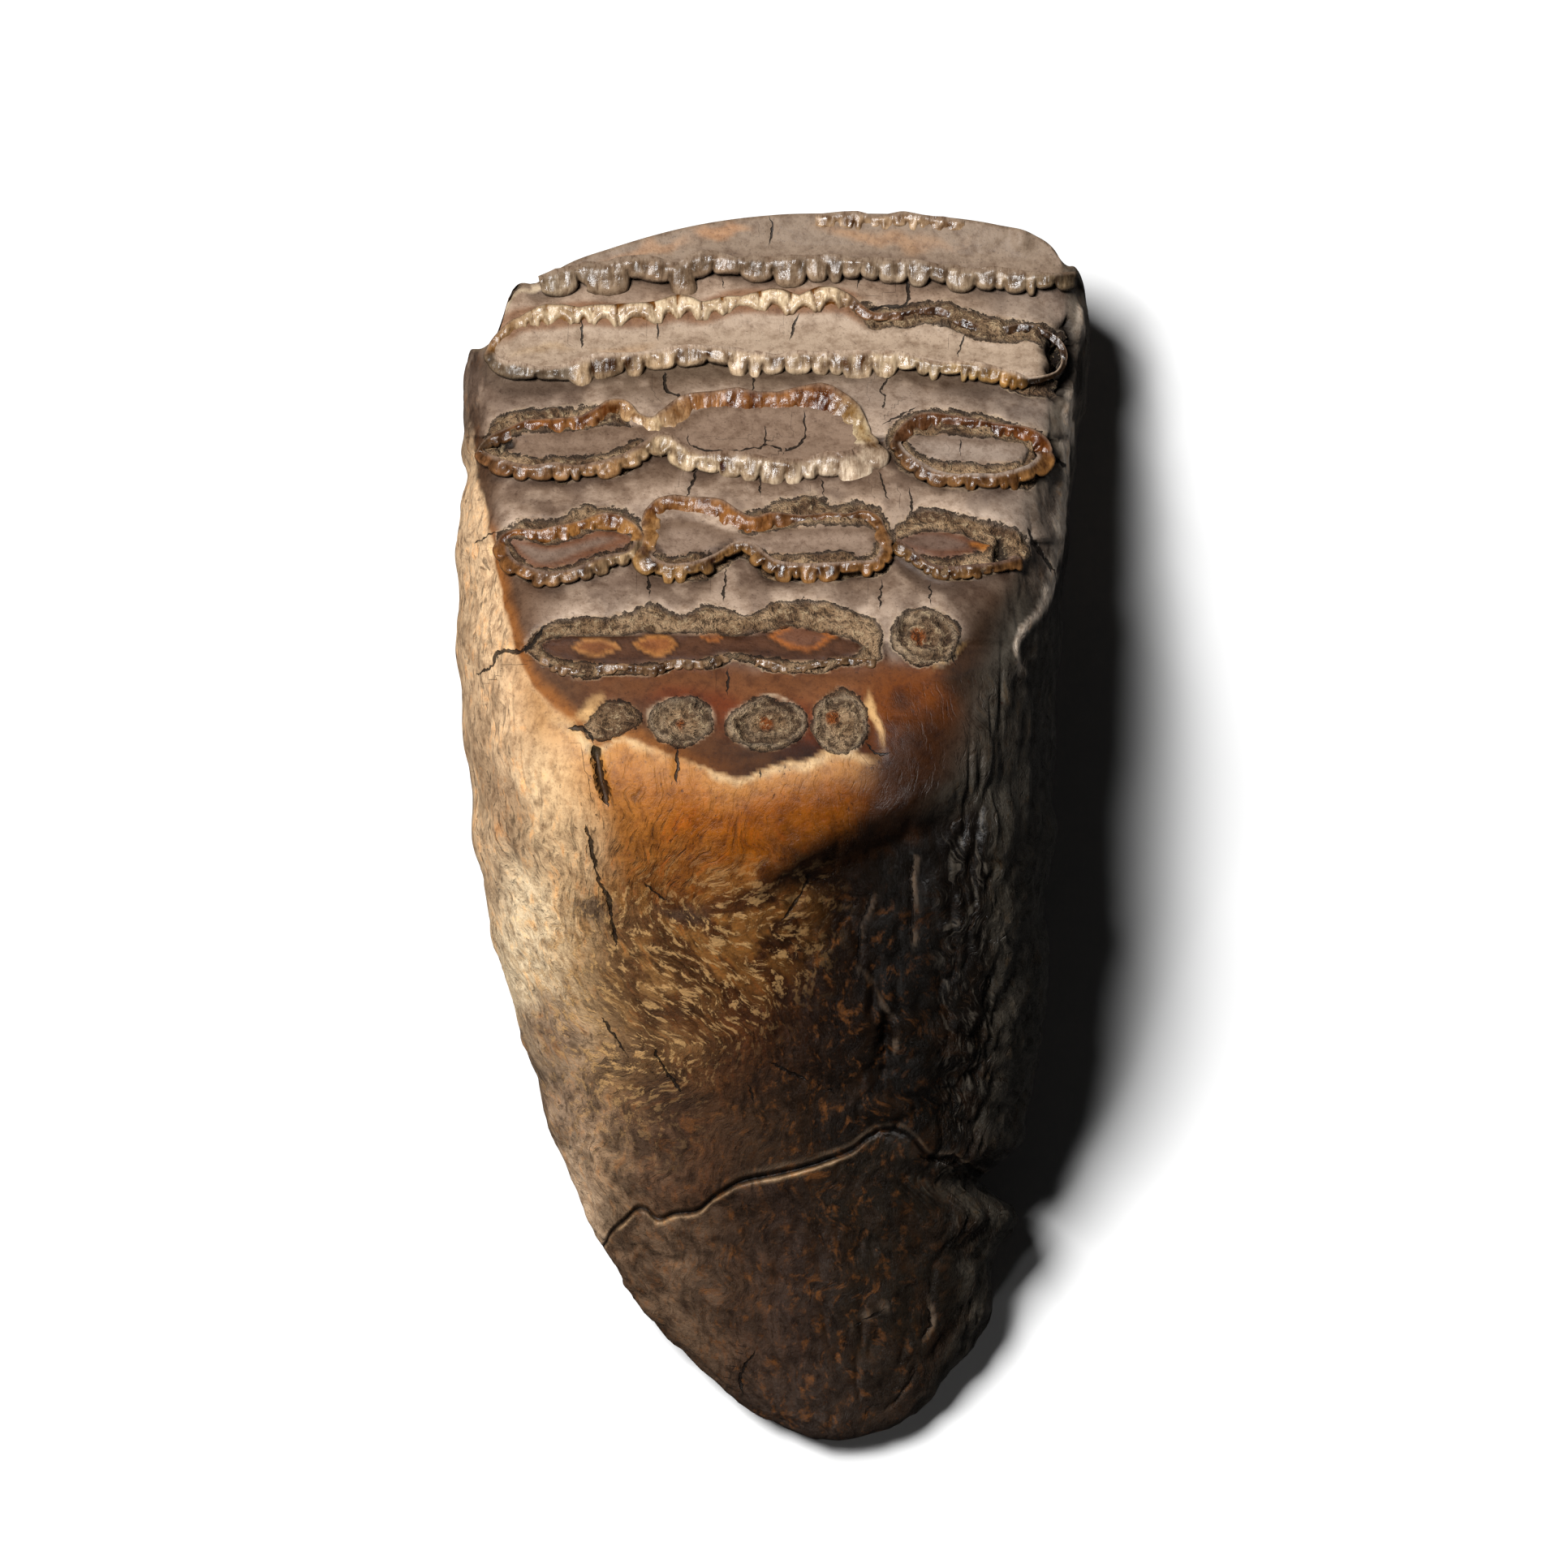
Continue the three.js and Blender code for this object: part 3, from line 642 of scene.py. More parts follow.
# the cement in front of the first whole plate
before_front = smoothstep(0.6, -0.6, PLATE["front"]["away"]) * (Y > 60)


def table_relief():
    """Height over the smooth table: dishes of dentine, and cement that climbs from one row to the next."""
    depth = np.interp(Y, [6, 18, 30, 60], [0.15, 0.5, 1.0, 1.15])
    cement = depth * (-1.15 + 1.45 * smoothstep(0.22, 0.98, climb) ** 0.8)
    cement = np.where(Y < ROW_MIDDLES[-1], 0.1, cement)
    cement = cement + (0.3 - cement) * before_front
    dish = 0.38 - 0.4 * smoothstep(0.6, 3.4, -inside_plate)
    height = dish + (cement - dish) * smoothstep(-0.7, 0.7, inside_plate)
    near_table = smoothstep(REACH, 5, np.abs(inside_plate))
    return height * near_table


print("relief from", table_relief().min().round(2), "to", table_relief().max().round(2), "mm")

# %% [markdown]
# ## Crumbled borders
#
# Round the rear plates the enamel has rotted to a gritty, grey-brown crust in a sunken border. It could be
# a piece of its own, but grit has no skin: it is a change in the same surface. So the grid carries the
# signed distance to the border of the grit. Relief and paint read it, and the material draws the ragged
# edge and the grains, which are finer than the cells.

# %% Where the enamel has crumbled to grit
from_grit = np.full(X.shape, 3.0)  # signed distance to the border of the grit, negative inside
for plate in PLATES:
    if "crust" not in plate:
        continue
    from_crust = plate["away"]
    if plate["crust"] is not CRUST:
        from_crust, _ = nearest(X, Y, smooth_line(plate["crust"], 0.5, closed=True), True, REACH)
    from_crust = from_crust + 0.45 * fractal(body, 2.4, 2, seed=42)
    if "basin" in plate:
        from_crust = np.maximum(from_crust, -plate["from_basin"])
    from_grit = np.minimum(from_grit, from_crust)
from_grit = np.maximum(from_grit, -3.0) + 6 * (1 - facing_up)
grit = smoothstep(0.3, -0.3, from_grit)
print("gritty share of the grid:", grit.mean().round(3))

# %% [markdown]
# ## Relief of the heel and the flanks
#
# The unworn heel still has its skin of cement. It is smooth and waxy on the left, lumpy and leathery on the
# right, and grooved along its length on the flanks, like weathered wood. Noise that is stretched along the
# tooth gives the grooves. Folding noise with an absolute value gives sharp wrinkles.

# %% Heel, flanks and break
heel = smoothstep(7, -6, Y)
side = smoothstep(0.45, 0.85, np.abs(normals[..., 0]))
# the right flank's grooved cement starts at this x, for each y
GROOVES_Y, GROOVES_X = [-60, -40, -10, 3, 8.5, 13.3, 16.5, 22.5], [23, 20, 20, 22.3, 24, 25.2, 27.4, 31]
grooved_from = np.interp(Y, GROOVES_Y, GROOVES_X)
right_side = smoothstep(-1.2, 2.5, X - grooved_from) * smoothstep(30, 18, Y)
from_break = Y - break_line(X)[..., 0]
broken = smoothstep(33, 27, X) * smoothstep(1, 8, Z)
dark_side = heel * smoothstep(-6, 14, X + 0.25 * Y + 8)
tip = smoothstep(-44, -52, Y)


def wrinkles(points, size, seed):
    """Sharp valleys: 1 where the noise crosses zero, falling away on both sides."""
    return 1 - np.minimum(1, 2.6 * np.abs(fractal(points, size, 3, seed)))


def heel_relief():
    """Displacement along the normal, in mm."""
    lumps = 0.55 * fractal(body, (8, 10, 8), 3, seed=6) * np.maximum(dark_side, 0.7 * tip)
    waxy = 0.16 * fractal(body, (3.2, 6, 4), 3, seed=9) * heel
    leather = -0.42 * wrinkles(body, (5, 7, 6), 14) ** 2 * np.maximum(dark_side, tip)
    grooves = -0.55 * wrinkles(body, (2.0, 17, 3.4), 17) * np.maximum(right_side, 0.5 * side)
    flank = 0.22 * fractal(body, (1.6, 11, 3), 2, seed=20) * side
    return lumps + waxy + leather + grooves + flank


def break_relief():
    """A groove along the break, and the lower piece standing a little proud on the left."""
    open_left = smoothstep(14, 4, X)
    depth = 0.5 + 0.7 * open_left
    groove = -depth * np.exp(-((from_break / 0.36) ** 2))
    step_up = 0.45 * open_left * smoothstep(0.1, -0.5, from_break) * smoothstep(-5, -0.8, from_break)
    return (groove + step_up) * broken


heel_bulge = heel_relief()
print("heel relief from", heel_bulge.min().round(2), "to", heel_bulge.max().round(2), "mm")

# %% Pits, and the rim of the table
# x, y, half-width, half-length and depth of each pit, in mm
PITS = [
    (36.2, 55.8, 2.1, 3.8, 2.6), (34.2, 43.9, 1.0, 1.8, 1.2), (28.4, 32.6, 1.0, 2.4, 1.7),
    (14.2, -28.3, 0.9, 3.0, 1.5), (12.6, -22.5, 0.6, 2.6, 0.8), (-27, -42.5, 1.4, 2.2, 0.9),
    (-33.2, 45.5, 1.6, 1.0, 0.9),
]


def pit_depths():
    """Each pit is a bell, depth * exp(-r^3), with r = 1 on its rim, bent by noise."""
    total = np.zeros(X.shape)
    uneven = 0.5 * fractal(body, 1.5, 2, seed=26)
    for x, y, across, along, depth in PITS:
        r = np.hypot((X - x) / across, (Y - y) / along) + uneven
        total = np.maximum(total, depth * np.exp(-(np.maximum(r, 0) ** 3)))
    return total * smoothstep(0.1, 0.5, normals[..., 2])


pits = pit_depths()

# a low rim runs along the right edge of the table and down to the amber lip
RIGHT_RIM = [
    [38.3, 62], [37.3, 55], [36.7, 48], [35.9, 40], [35.3, 34], [34.2, 28.5], [33, 25], [31, 22.6],
    [29.8, 20], [30.6, 17],
]
rim_line = smooth_line(RIGHT_RIM, 0.5, closed=False)
from_rim, _ = nearest(X, Y, rim_line, False, 6)
right_rim = np.exp(-((from_rim / 0.9) ** 2))
print("pits up to", pits.max().round(1), "mm deep, rim of", len(rim_line), "points")

# %% Crumbs, and all the relief together
on_crown = smoothstep(0.1, 0.8, outline_b) * smoothstep(2, 7, Y)
crumbs = grit * (-0.35 + 0.8 * fractal(body, 1.7, 3, seed=23))
for plate in PLATES:
    if "ring" in plate:
        x, y, across, along = plate["ring"]
        plate["from_centre"] = np.hypot((X - x) / across, (Y - y) / along)
        plate["from_centre"] += 0.16 * fractal(body, 3, 2, seed=27)
        for share, rise in [(0.88, 0.5), (0.68, -0.3), (0.5, 0.4)]:
            crumbs += rise * np.exp(-(((plate["from_centre"] - share) / 0.09) ** 2)) * facing_up
nodule = 0.9 * np.exp(-(((X - 31) ** 2 + (Y - 70.6) ** 2) / 1.1**2))
relief = (table_relief() + nodule + 0.07 * fractal(body, (5, 3, 5), 3, seed=2)) * on_crown
# the front edge and the face below it go down with the table behind them
edge_row = CAP_RINGS + 2
edge_x = X[:edge_row]
below_table = surface_height(edge_x, top_edge(edge_x)) - Z[:edge_row]
edge_relief = np.interp(edge_x, X[edge_row, :TOP_CELLS], relief[edge_row, :TOP_CELLS])
relief[:edge_row] = edge_relief * smoothstep(6, 1, below_table)
bulge = heel_bulge - pits + crumbs + 0.5 * right_rim
bulge[:edge_row] *= np.r_[smoothstep(1, 0.85, cap_shares), 0, 0][:, None]
displaced = body + normals * bulge[..., None]
displaced[..., 2] += relief + break_relief()
print("highest point:", displaced[..., 2].max().round(1), "mm")

# %% [markdown]
# ## Cracks
#
# Drying has split the tooth. A crack is thinner than a cell of the grid, so it can't be cut into the mesh.
# The grid instead carries the signed distance to the nearest crack. That number runs straight through zero
# across a cell, so the material can draw a line that is much finer than the cells.

# %% Crack lines
# hairline ridges on the dark side of the heel, each with a crack along it
RIDGES = [
    [[12.6, -9.3], [11.8, -11.7], [10.8, -14.2], [10.9, -16.5], [10.6, -19.2]],
    [[17.6, -6], [17.1, -8.4], [17.3, -11.2], [17.2, -16.5]], [[10.4, -63.9], [14.7, -61.5]],
    [[19.5, -61.7], [19.9, -63.9], [18.2, -66.1]],
]
# the crack from the fifth plate out over the left edge
LEFT_CRACK = [
    [-36.5, 16.6], [-34.5, 17.8], [-33.9, 19.2], [-32.5, 19.7], [-30.2, 19.7], [-28.9, 21.1], [-27.6, 23],
]
# half-width in mm, then the points of the line
CRACKS = [
    (0.14, [[-0.2, 73.8], [0.2, 72], [-0.5, 70]]), (0.1, [[-20.5, 65.8], [-20.2, 64]]),
    (0.1, [[-6, 66.5], [-5.7, 64.5]]), (0.12, [[11.5, 68], [10.5, 64.5]]),
    (0.16, [[16.8, 66], [17, 63], [15, 62.6], [11, 62.4]]), (0.14, [[-23.5, 61.5], [-23.3, 57]]),
    (0.1, [[-14, 62], [-14, 58]]), (0.12, [[3.5, 61.8], [2.2, 58]]), (0.14, [[24, 59.3], [23, 56]]),
    (0.18, [[-13.2, 54.5], [-12.9, 52], [-11.2, 51], [-12, 49.5]]),
    (0.14, [[-2.2, 54], [-2.5, 51.5], [-5, 51]]),
    (0.12, [[15.5, 55], [13.5, 52], [14.2, 51.5], [13.5, 49.5]]), (0.12, [[18, 50], [13.5, 47.5]]),
    (0.12, [[-0.8, 47.6], [-0.7, 45.3], [-2, 44.8], [-4.5, 44.3], [-7.5, 44.5], [-9.8, 45], [-10.4, 46.8]]),
    (0.12, [[4, 49.6], [4.2, 46.4], [3.4, 45], [1.5, 44.6], [-0.7, 45.3]]),
    (0.1, [[1.6, 44.6], [1.4, 43.4]]), (0.1, [[23.3, 46], [23.4, 43.5]]),
    (0.16, [[-9, 42.3], [-10.5, 38.2]]), (0.12, [[-1.3, 41.5], [-1.3, 38.5]]),
    (0.12, [[6.2, 41], [6.5, 38.5]]), (0.14, [[13.3, 42], [14.5, 38]]),
    (0.12, [[17, 40], [17.3, 37.5], [16.5, 36]]), (0.14, [[-15, 30], [-14.8, 26]]),
    (0.16, [[-5.5, 30], [-5.8, 25.5]]), (0.12, [[13.5, 28.5], [13.3, 24.5]]),
    (0.12, [[19.5, 28], [19.5, 25]]), (0.14, [[-5.3, 17.5], [-5.2, 14]]),
    (0.12, [[-37, 33], [-33.3, 34.5]]),
    (0.26, LEFT_CRACK),
    (0.24, [[-24.8, 10.2], [-22.6, 9.9], [-21.3, 8.2]]), (0.18, [[11.6, 8.5], [12.9, 7.1], [14.8, 7.1]]),
    (0.14, [[21.7, 19.5], [22.8, 17.7]]), (0.68, [[-21.4, 8.2], [-21.1, 6.2], [-20.5, 3.3], [-19.8, 0.6]]),
    (0.26, [[-22.6, -1.4], [-21.8, -4.7], [-21, -8.2], [-19.9, -10.2], [-19.4, -13.5], [-18.8, -16.7]]),
    (0.18, [[-11.3, 8.2], [-11.3, 5.6], [-11.6, 3.1]]), (0.16, [[-1.2, 5.3], [-1.3, 3.7]]),
    (0.16, [[-15.5, -8.5], [-12.6, -11.1]]), (0.2, [[-14.5, -29], [-13.5, -31.1], [-10.8, -34.9]]),
    (0.14, [[-20.8, -25.2], [-17.3, -30.5]]), (0.2, [[5, -7.3], [2.9, -11.1], [1.2, -13.5]]),
    (0.2, [[-2, -67.2], [-3.1, -69.1], [-4, -70.9], [-3.5, -73.2]]),
    (0.24, [[31.5, 35], [34, 30], [34.7, 28], [34.5, 25.5]]), (0.2, [[35, 44], [37.2, 40]]),
    (0.16, [[-0.3, -30.8], [5.1, -33.5]]), (0.14, [[6.8, -34.1], [8.3, -35.2]]),
    (0.14, [[-2.9, -33.5], [-1.9, -36.3]]), (0.18, [[18.2, -42], [19.5, -43.1], [24.4, -44.2]]),
] + [(0.16, points) for points in RIDGES]
print(len(CRACKS), "cracks")

# %% Distances to the cracks
CRACK_REACH = 1.6


def crack_fields():
    """Signed distance to the nearest crack, and that crack's half-width where the line runs (else 0)."""
    offset, width = np.full(X.shape, CRACK_REACH), np.zeros(X.shape)
    for half_width, points in CRACKS:
        line = smooth_line(points, 0.5, closed=False)
        away, place = nearest(X, Y, line, False, CRACK_REACH)
        length = np.linalg.norm(np.diff(line, axis=0), axis=1).sum()
        closer = np.abs(away) < np.abs(offset)
        ends = smoothstep(0, 0.8, place) * smoothstep(length, length - 1.5, place)
        offset = np.where(closer, away, offset)
        width = np.where(closer, half_width * ends, width)
    return offset, width * smoothstep(0.1, 0.4, normals[..., 2])


crack_offset, crack_width = crack_fields()
# the wider cracks are also a soft dip in the mesh
displaced[..., 2] -= 2.2 * crack_width * np.exp(-((crack_offset / 0.45) ** 2)) * (crack_width > 0.1)
# nothing reaches below the surface that the tooth lies on
displaced[..., 2] = np.maximum(displaced[..., 2], 0)
print("points within reach of a crack:", int((np.abs(crack_offset) < CRACK_REACH).sum()))

# %% [markdown]
# ## Colour
#
# The ground has stained each part differently. Cement on the worn table is grey-brown, dentine is paler,
# the waxy lip behind the table is amber with a cream edge, and the heel goes from cream to almost black.
# Painting these stains on the grid points, layer over layer, keeps each one beside the line that bounds it.
# Some layers are painted light and shade instead: shade in the gutters, under the enamel's tabs, in the
# hollow under the lip and in the pits, highlights on edges, rims and ridges, and a brighter left side. Noise
# bends the boundaries so that none of them looks drawn.

# %% Paint in layers


def linear(hex_colour):
    """sRGB hex to linear light: ((c + 0.055) / 1.055)^2.4, or c / 12.92 in the darkest part."""
    c = np.array([int(hex_colour[i : i + 2], 16) for i in (1, 3, 5)]) / 255
    return np.where(c <= 0.04045, c / 12.92, ((c + 0.055) / 1.055) ** 2.4)


def ramp(value, stops):
    """Colour blended between [value, hex] stops."""
    keys = [key for key, _ in stops]
    colours = np.array([linear(colour) for _, colour in stops])
    return np.stack([np.interp(value, keys, colours[:, i]) for i in range(3)], -1)


LAMP_GAIN = 0.36  # the lamp is strong, so every colour is dimmed by this much to look as painted
layers = []


def paint(mask, colour):
    """Adds a layer to the stack: a hex colour, or linear colours, where the mask is 1."""
    layers.append((np.clip(mask, 0, 1), linear(colour) if isinstance(colour, str) else colour))


def laid_over(layers):
    """The colour of a stack of layers, each laid over those before it."""
    tone = np.zeros(X.shape + (3,))
    for mask, colour in layers:
        tone += (colour - tone) * mask[..., None]
    return tone


print("white is painted as", LAMP_GAIN, "of white")

# %% Blobs of paint
soft_noise = fractal(body, 9, 3, seed=30)
fine_noise = fractal(body, 2.6, 3, seed=33)
x_bent = X + 1.6 * soft_noise + 0.5 * fine_noise
y_bent = Y + 1.6 * fractal(body, 8, 3, seed=36) + 0.5 * fractal(body, 2.4, 2, seed=39)


def blob(x, y, across, along, turn=0, soft=0.5):
    """1 inside an ellipse turned by some degrees, fading out over its rim. Noise bends its outline."""
    c, s = math.cos(math.radians(turn)), math.sin(math.radians(turn))
    u, v = (x_bent - x) * c + (y_bent - y) * s, (y_bent - y) * c - (x_bent - x) * s
    return smoothstep(1 + soft, 1 - soft, np.hypot(u / across, v / along))


def paint_blobs(rows):
    """Paints one blob for each row: x, y, half-width, half-length, turn, strength and colour."""
    for x, y, across, along, turn, strength, colour in rows:
        paint(strength * blob(x, y, across, along, turn), colour)


print("noise bends the painted edges by up to", np.abs(x_bent - X).max().round(1), "mm")

# %% The worn table
TABLE_EDGE = [
    [38.6, 60], [37.4, 50], [36, 42], [35, 34], [33.6, 28], [31.5, 23.5], [28, 19], [23, 16.5], [18, 16],
    [14, 14], [12.6, 10], [13, 7.2], [9, 7.4], [5, 6.6], [1, 5.6], [-2, 4.6], [-4.5, 4.3], [-8, 5.3],
    [-12, 6.8], [-15.5, 8.6], [-18, 9.2], [-20.5, 8.3], [-22.8, 9.5], [-24.5, 11], [-26.5, 13],
    [-29.8, 16.5], [-31.2, 20], [-32.6, 24], [-34, 30], [-35.2, 36], [-36.4, 44], [-37.3, 50], [-38.5, 56],
]
edge, _ = nearest(X, Y, smooth_line(TABLE_EDGE, 1.0, closed=False), False, 24)
edge_bent = edge + 0.5 * fine_noise
on_table = smoothstep(0.4, -0.4, edge) * facing_up
on_left = smoothstep(2, -2, X)
# the cement is painted darker in the gutter behind each row and paler as it climbs to the next row: partly
# its stain, partly painted shade in the gutter and painted light on the slope that faces the lamp
CEMENT_STAIN_AND_SHADE = [[0, "#5a4536"], [0.25, "#7f6653"], [0.5, "#9a806b"], [0.75, "#c4a992"], [1, "#e2c8b0"]]
# some of the gutters between the rows are darker than others: y, gain
gutter_gain = np.interp(Y, [16, 27, 39.7, 52.3, 62.9, 70], [1, 0.98, 1.1, 0.85, 1.3, 0.9])
cement = ramp(climb + 0.16 * soft_noise + 0.1 * fine_noise, CEMENT_STAIN_AND_SHADE) * gutter_gain[..., None]
paint(np.ones(X.shape), cement)
blotches = fractal(body, 4.5, 4, seed=44)
paint(0.55 * smoothstep(0.0, 0.5, soft_noise), "#7a6253")
paint(0.5 * smoothstep(0.05, 0.4, blotches), "#6e5647")
paint(0.5 * smoothstep(0.05, 0.5, fine_noise), "#c4a992")
paint_blobs([(18, 64.5, 12, 2.5, 0, 0.35, "#a98c74"), (16, 51, 7, 2.2, 0, 0.6, "#bda591")])
paint(0.5 * smoothstep(20, 31, X) * smoothstep(26, 34, Y), "#96877c")
# the enamel's tabs hang this far over the gutter below each row, and the cement under them is painted with
# shade
tab_reach = np.take([1.9, 2.4, 1.6, 1.4, 0.6], gap)
shade_under_tabs = smoothstep(tab_reach + 1.1, tab_reach - 0.3, upper + 0.5 * fine_noise)
paint(0.65 * shade_under_tabs * (1 - before_front), "#4d3b2f")
# the cement reddens towards the heel and along the left edge
paint(0.95 * smoothstep(20.5, 17.5, y_bent), "#74431f")
paint(0.5 * smoothstep(20, 17, y_bent) * smoothstep(0.3, 0.9, climb), "#8c5226")
paint(0.9 * smoothstep(15.5, 12, y_bent), "#702f0c")
paint(0.8 * smoothstep(9, 7, y_bent) * smoothstep(-14, -10, X) * smoothstep(8, 4, X), "#461c04")
paint(0.85 * smoothstep(-3.2, -0.4, edge_bent) * smoothstep(56, 46, Y) * on_left, "#5d3f28")
paint(0.85 * smoothstep(-8, -2.5, edge_bent) * smoothstep(34, 24, Y) * on_left, "#65442b")
paint(0.9 * smoothstep(-2.2, -0.3, edge_bent) * smoothstep(38, 32, Y) * on_left, "#a5642a")
paint_blobs([(29, 22.5, 6, 5.5, -35, 0.85, "#49311f"), (25.5, 18.5, 2.6, 3.4, -35, 0.8, "#7a4216")])
# painted highlight: the front edge catches the light
front_edge_highlight = np.zeros(X.shape)
front_edge_highlight[CAP_RINGS - 1 : edge_row, :TOP_CELLS] = 1
paint(front_edge_highlight * (0.5 + fine_noise), "#dcc4a4")
print("table painted in", len(layers), "layers")

# %% Dentine inside the enamel
BASINS = dict(
    front="#9f8873", second="#cdb39b", third_left="#977c67", third_right="#b5a08f", fourth_left="#8a7160",
    fourth_middle="#a68c78", fourth_right="#7a6051", fifth="#5e3a24",
)
# a darker rim inside the enamel: three plates have a colour of their own for it; on the others it is darker
# all round and, as painted shade cast by the enamel, darkest on the front side and fainter on the heel side
RIMS = dict(fourth_left="#7a4218", fourth_right="#6b3816", fifth="#43240f")
DARK_RIM_AND_SHADE = "#6f543e"
for plate in PLATES:
    if plate["name"] not in BASINS:
        continue
    inner = smoothstep(0.3, -0.3, plate["from_basin"]) * smoothstep(0.3, -0.3, plate["away"]) * facing_up
    paint(inner, BASINS[plate["name"]])
    own_rim = plate["name"] in RIMS
    upper_side = smoothstep(-1, 1.5, Y - plate_line(plate, 2)[:, 1].mean())
    side_gain = 1 if own_rim else 0.3 + 0.7 * upper_side
    reach = 1.2 if own_rim else 1.9
    rim = 0.75 * inner * smoothstep(-reach, -0.3, plate["from_basin"] + 0.4 * soft_noise) * side_gain
    paint(rim, RIMS.get(plate["name"], DARK_RIM_AND_SHADE))
# the second plate's enamel leaves a brown stain on the cement in front of it
brown_band = smoothstep(1.9, 1.2, np.abs(PLATE["second"]["away"])) * smoothstep(57.5, 59, Y)
paint(0.8 * brown_band * smoothstep(14, 9, X), "#8a5328")
TAN_STREAKS = [
    (-28, 56.9, 3.6, 0.5, -4, 0.8, "#dcbc98"), (-18, 57.3, 3.4, 0.4, 0, 0.6, "#d0a67c"),
    (-6, 72, 3.6, 0.6, 10, 0.8, "#c89468"), (-16, 69.2, 5, 0.7, 12, 0.8, "#c79c78"),
    (14, 71, 7, 0.9, -4, 0.7, "#bd8f66"),
]
paint_blobs(TAN_STREAKS)

# islands of dentine, shaped like lenses: x, y, half-width, half-height, outline and middle
LENSES = [
    (26, 32.7, 1.8, 0.5, "#c27a30", "#b06a28"), (-21.4, 20.1, 2.9, 1.2, "#b47a42", "#7e4620"),
    (-13.9, 20.4, 2.8, 1.3, "#b8793c", "#96572a"), (-7.1, 21.4, 1.4, 0.8, "#a5622c", "#7a4420"),
    (4, 21.4, 4.3, 1.7, "#ab6228", "#6b4633"),
]
for x, y, across, along, outline, middle in LENSES:
    r = np.abs((Y - y) / along) + ((X - x) / across) ** 2 + 0.2 * fine_noise
    paint(0.7 * smoothstep(1.6, 1.1, r) * facing_up, "#43260f")
    paint(smoothstep(1.1, 0.85, r) * facing_up, outline)
    paint(0.9 * smoothstep(0.75, 0.5, r) * facing_up, middle)
print("dentine painted,", len(layers), "layers so far")

# %% [markdown]
# ## Colours of the heel
#
# The heel's cement was never worn. The ground has turned it from cream on the left, over brown, to nearly
# black on the right, and just below the table it is a waxy amber lip with a cream edge. One gradient would
# look like a spray. So two ramps across the heel, one near the lip and one further down, are blended along
# the tooth, and the lip, the flanks, patches and blotches are laid over them. Over the stain, the left of
# the heel and the left flank are painted brighter as painted light, the lip's cream edge is partly a painted
# highlight, and the hollow under the lip gets painted shade.

# %% From cream to black
outside = smoothstep(-0.4, 0.5, edge_bent) * smoothstep(48, 36, Y)
on_heel = smoothstep(9, 3, Y)
# colours across the heel: just below the lip, further down, and past the break
UPPER_HEEL = [
    [-31, "#ffe4ba"], [-25, "#f2c892"], [-19, "#c9925a"], [-13, "#8c5a2c"], [-7, "#6b3c18"],
    [-1, "#442611"], [6, "#2a1a0f"], [14, "#17120d"], [25, "#1d1814"],
]
LOWER_HEEL = [
    [-29, "#d8b896"], [-24, "#b08e6c"], [-19, "#7f5f46"], [-13, "#64432b"], [-5, "#4a3422"], [3, "#2e2219"],
    [11, "#1b1611"], [25, "#191512"],
]
TIP = [
    [-18, "#85684f"], [-11, "#5c4331"], [-3, "#48352a"], [5, "#33291f"], [13, "#2d251d"], [25, "#2b2620"],
]
x_slanted = x_bent + 0.12 * y_bent + 1.2
upper_heel, lower_heel, tip_colour = (ramp(x_slanted, stops) for stops in (UPPER_HEEL, LOWER_HEEL, TIP))
heel_colour = upper_heel + (lower_heel - upper_heel) * smoothstep(-24, -38, y_bent)[..., None]
past_break = smoothstep(0.3, -0.3, from_break)
heel_colour = heel_colour + (tip_colour - heel_colour) * past_break[..., None]
# painted light: the heel is painted brighter on its left than its stain, and a little darker on its right
painted_light_gain = 1 + 0.5 * smoothstep(-16, -24, X) - 0.2 * smoothstep(-2, 8, X)
paint(np.maximum(outside, smoothstep(12, 4, Y)), heel_colour * painted_light_gain[..., None])
paint(outside * smoothstep(-8, -26, X) * (1 - on_heel), "#c8945e")
print("heel painted,", len(layers), "layers so far")

# %% The amber lip
lip_width = 13 + 8 * smoothstep(2, -12, X)
lip = smoothstep(lip_width, lip_width - 6, edge + 2 * soft_noise + 1.2 * fine_noise)
lip *= smoothstep(-31, -20, x_bent)
lip *= smoothstep(-0.3, 0.6, edge_bent)
LIP = [
    [-26, "#e6aa62"], [-18, "#c47c30"], [-10, "#ad6010"], [0, "#a35806"], [8, "#904e06"], [14, "#643204"],
    [20, "#3a1f08"],
]
paint(lip, ramp(x_bent, LIP))
paint(0.6 * lip * smoothstep(6, 14, edge + soft_noise), "#87501c")
# its right end is darker
LIP_END = [
    (16.5, 11, 6.5, 6.5, 20, 1, "#7a3c00"), (18, 6, 7, 5.5, 10, 0.85, "#2a1402"),
    (15.8, 13.6, 1.6, 1.2, 0, 0.8, "#4a260e"), (26, 19, 3.2, 7, -30, 0.9, "#33200f"),
]
paint_blobs(LIP_END)
on_lip = smoothstep(-0.2, 0.4, edge_bent) * smoothstep(12.5, 9, Y) * smoothstep(14, 9, X)
paint(0.65 * on_lip * smoothstep(5.5, 0.8, edge_bent + 1.2 * soft_noise), "#dd9c52")
# a narrow cream edge: partly its colour, partly a painted highlight where the edge rolls over
paint(0.9 * on_lip * smoothstep(1.5, 0.3, edge_bent + 0.7 * soft_noise + 0.3 * fine_noise), "#f6d09a")
print("lip painted,", len(layers), "layers so far")

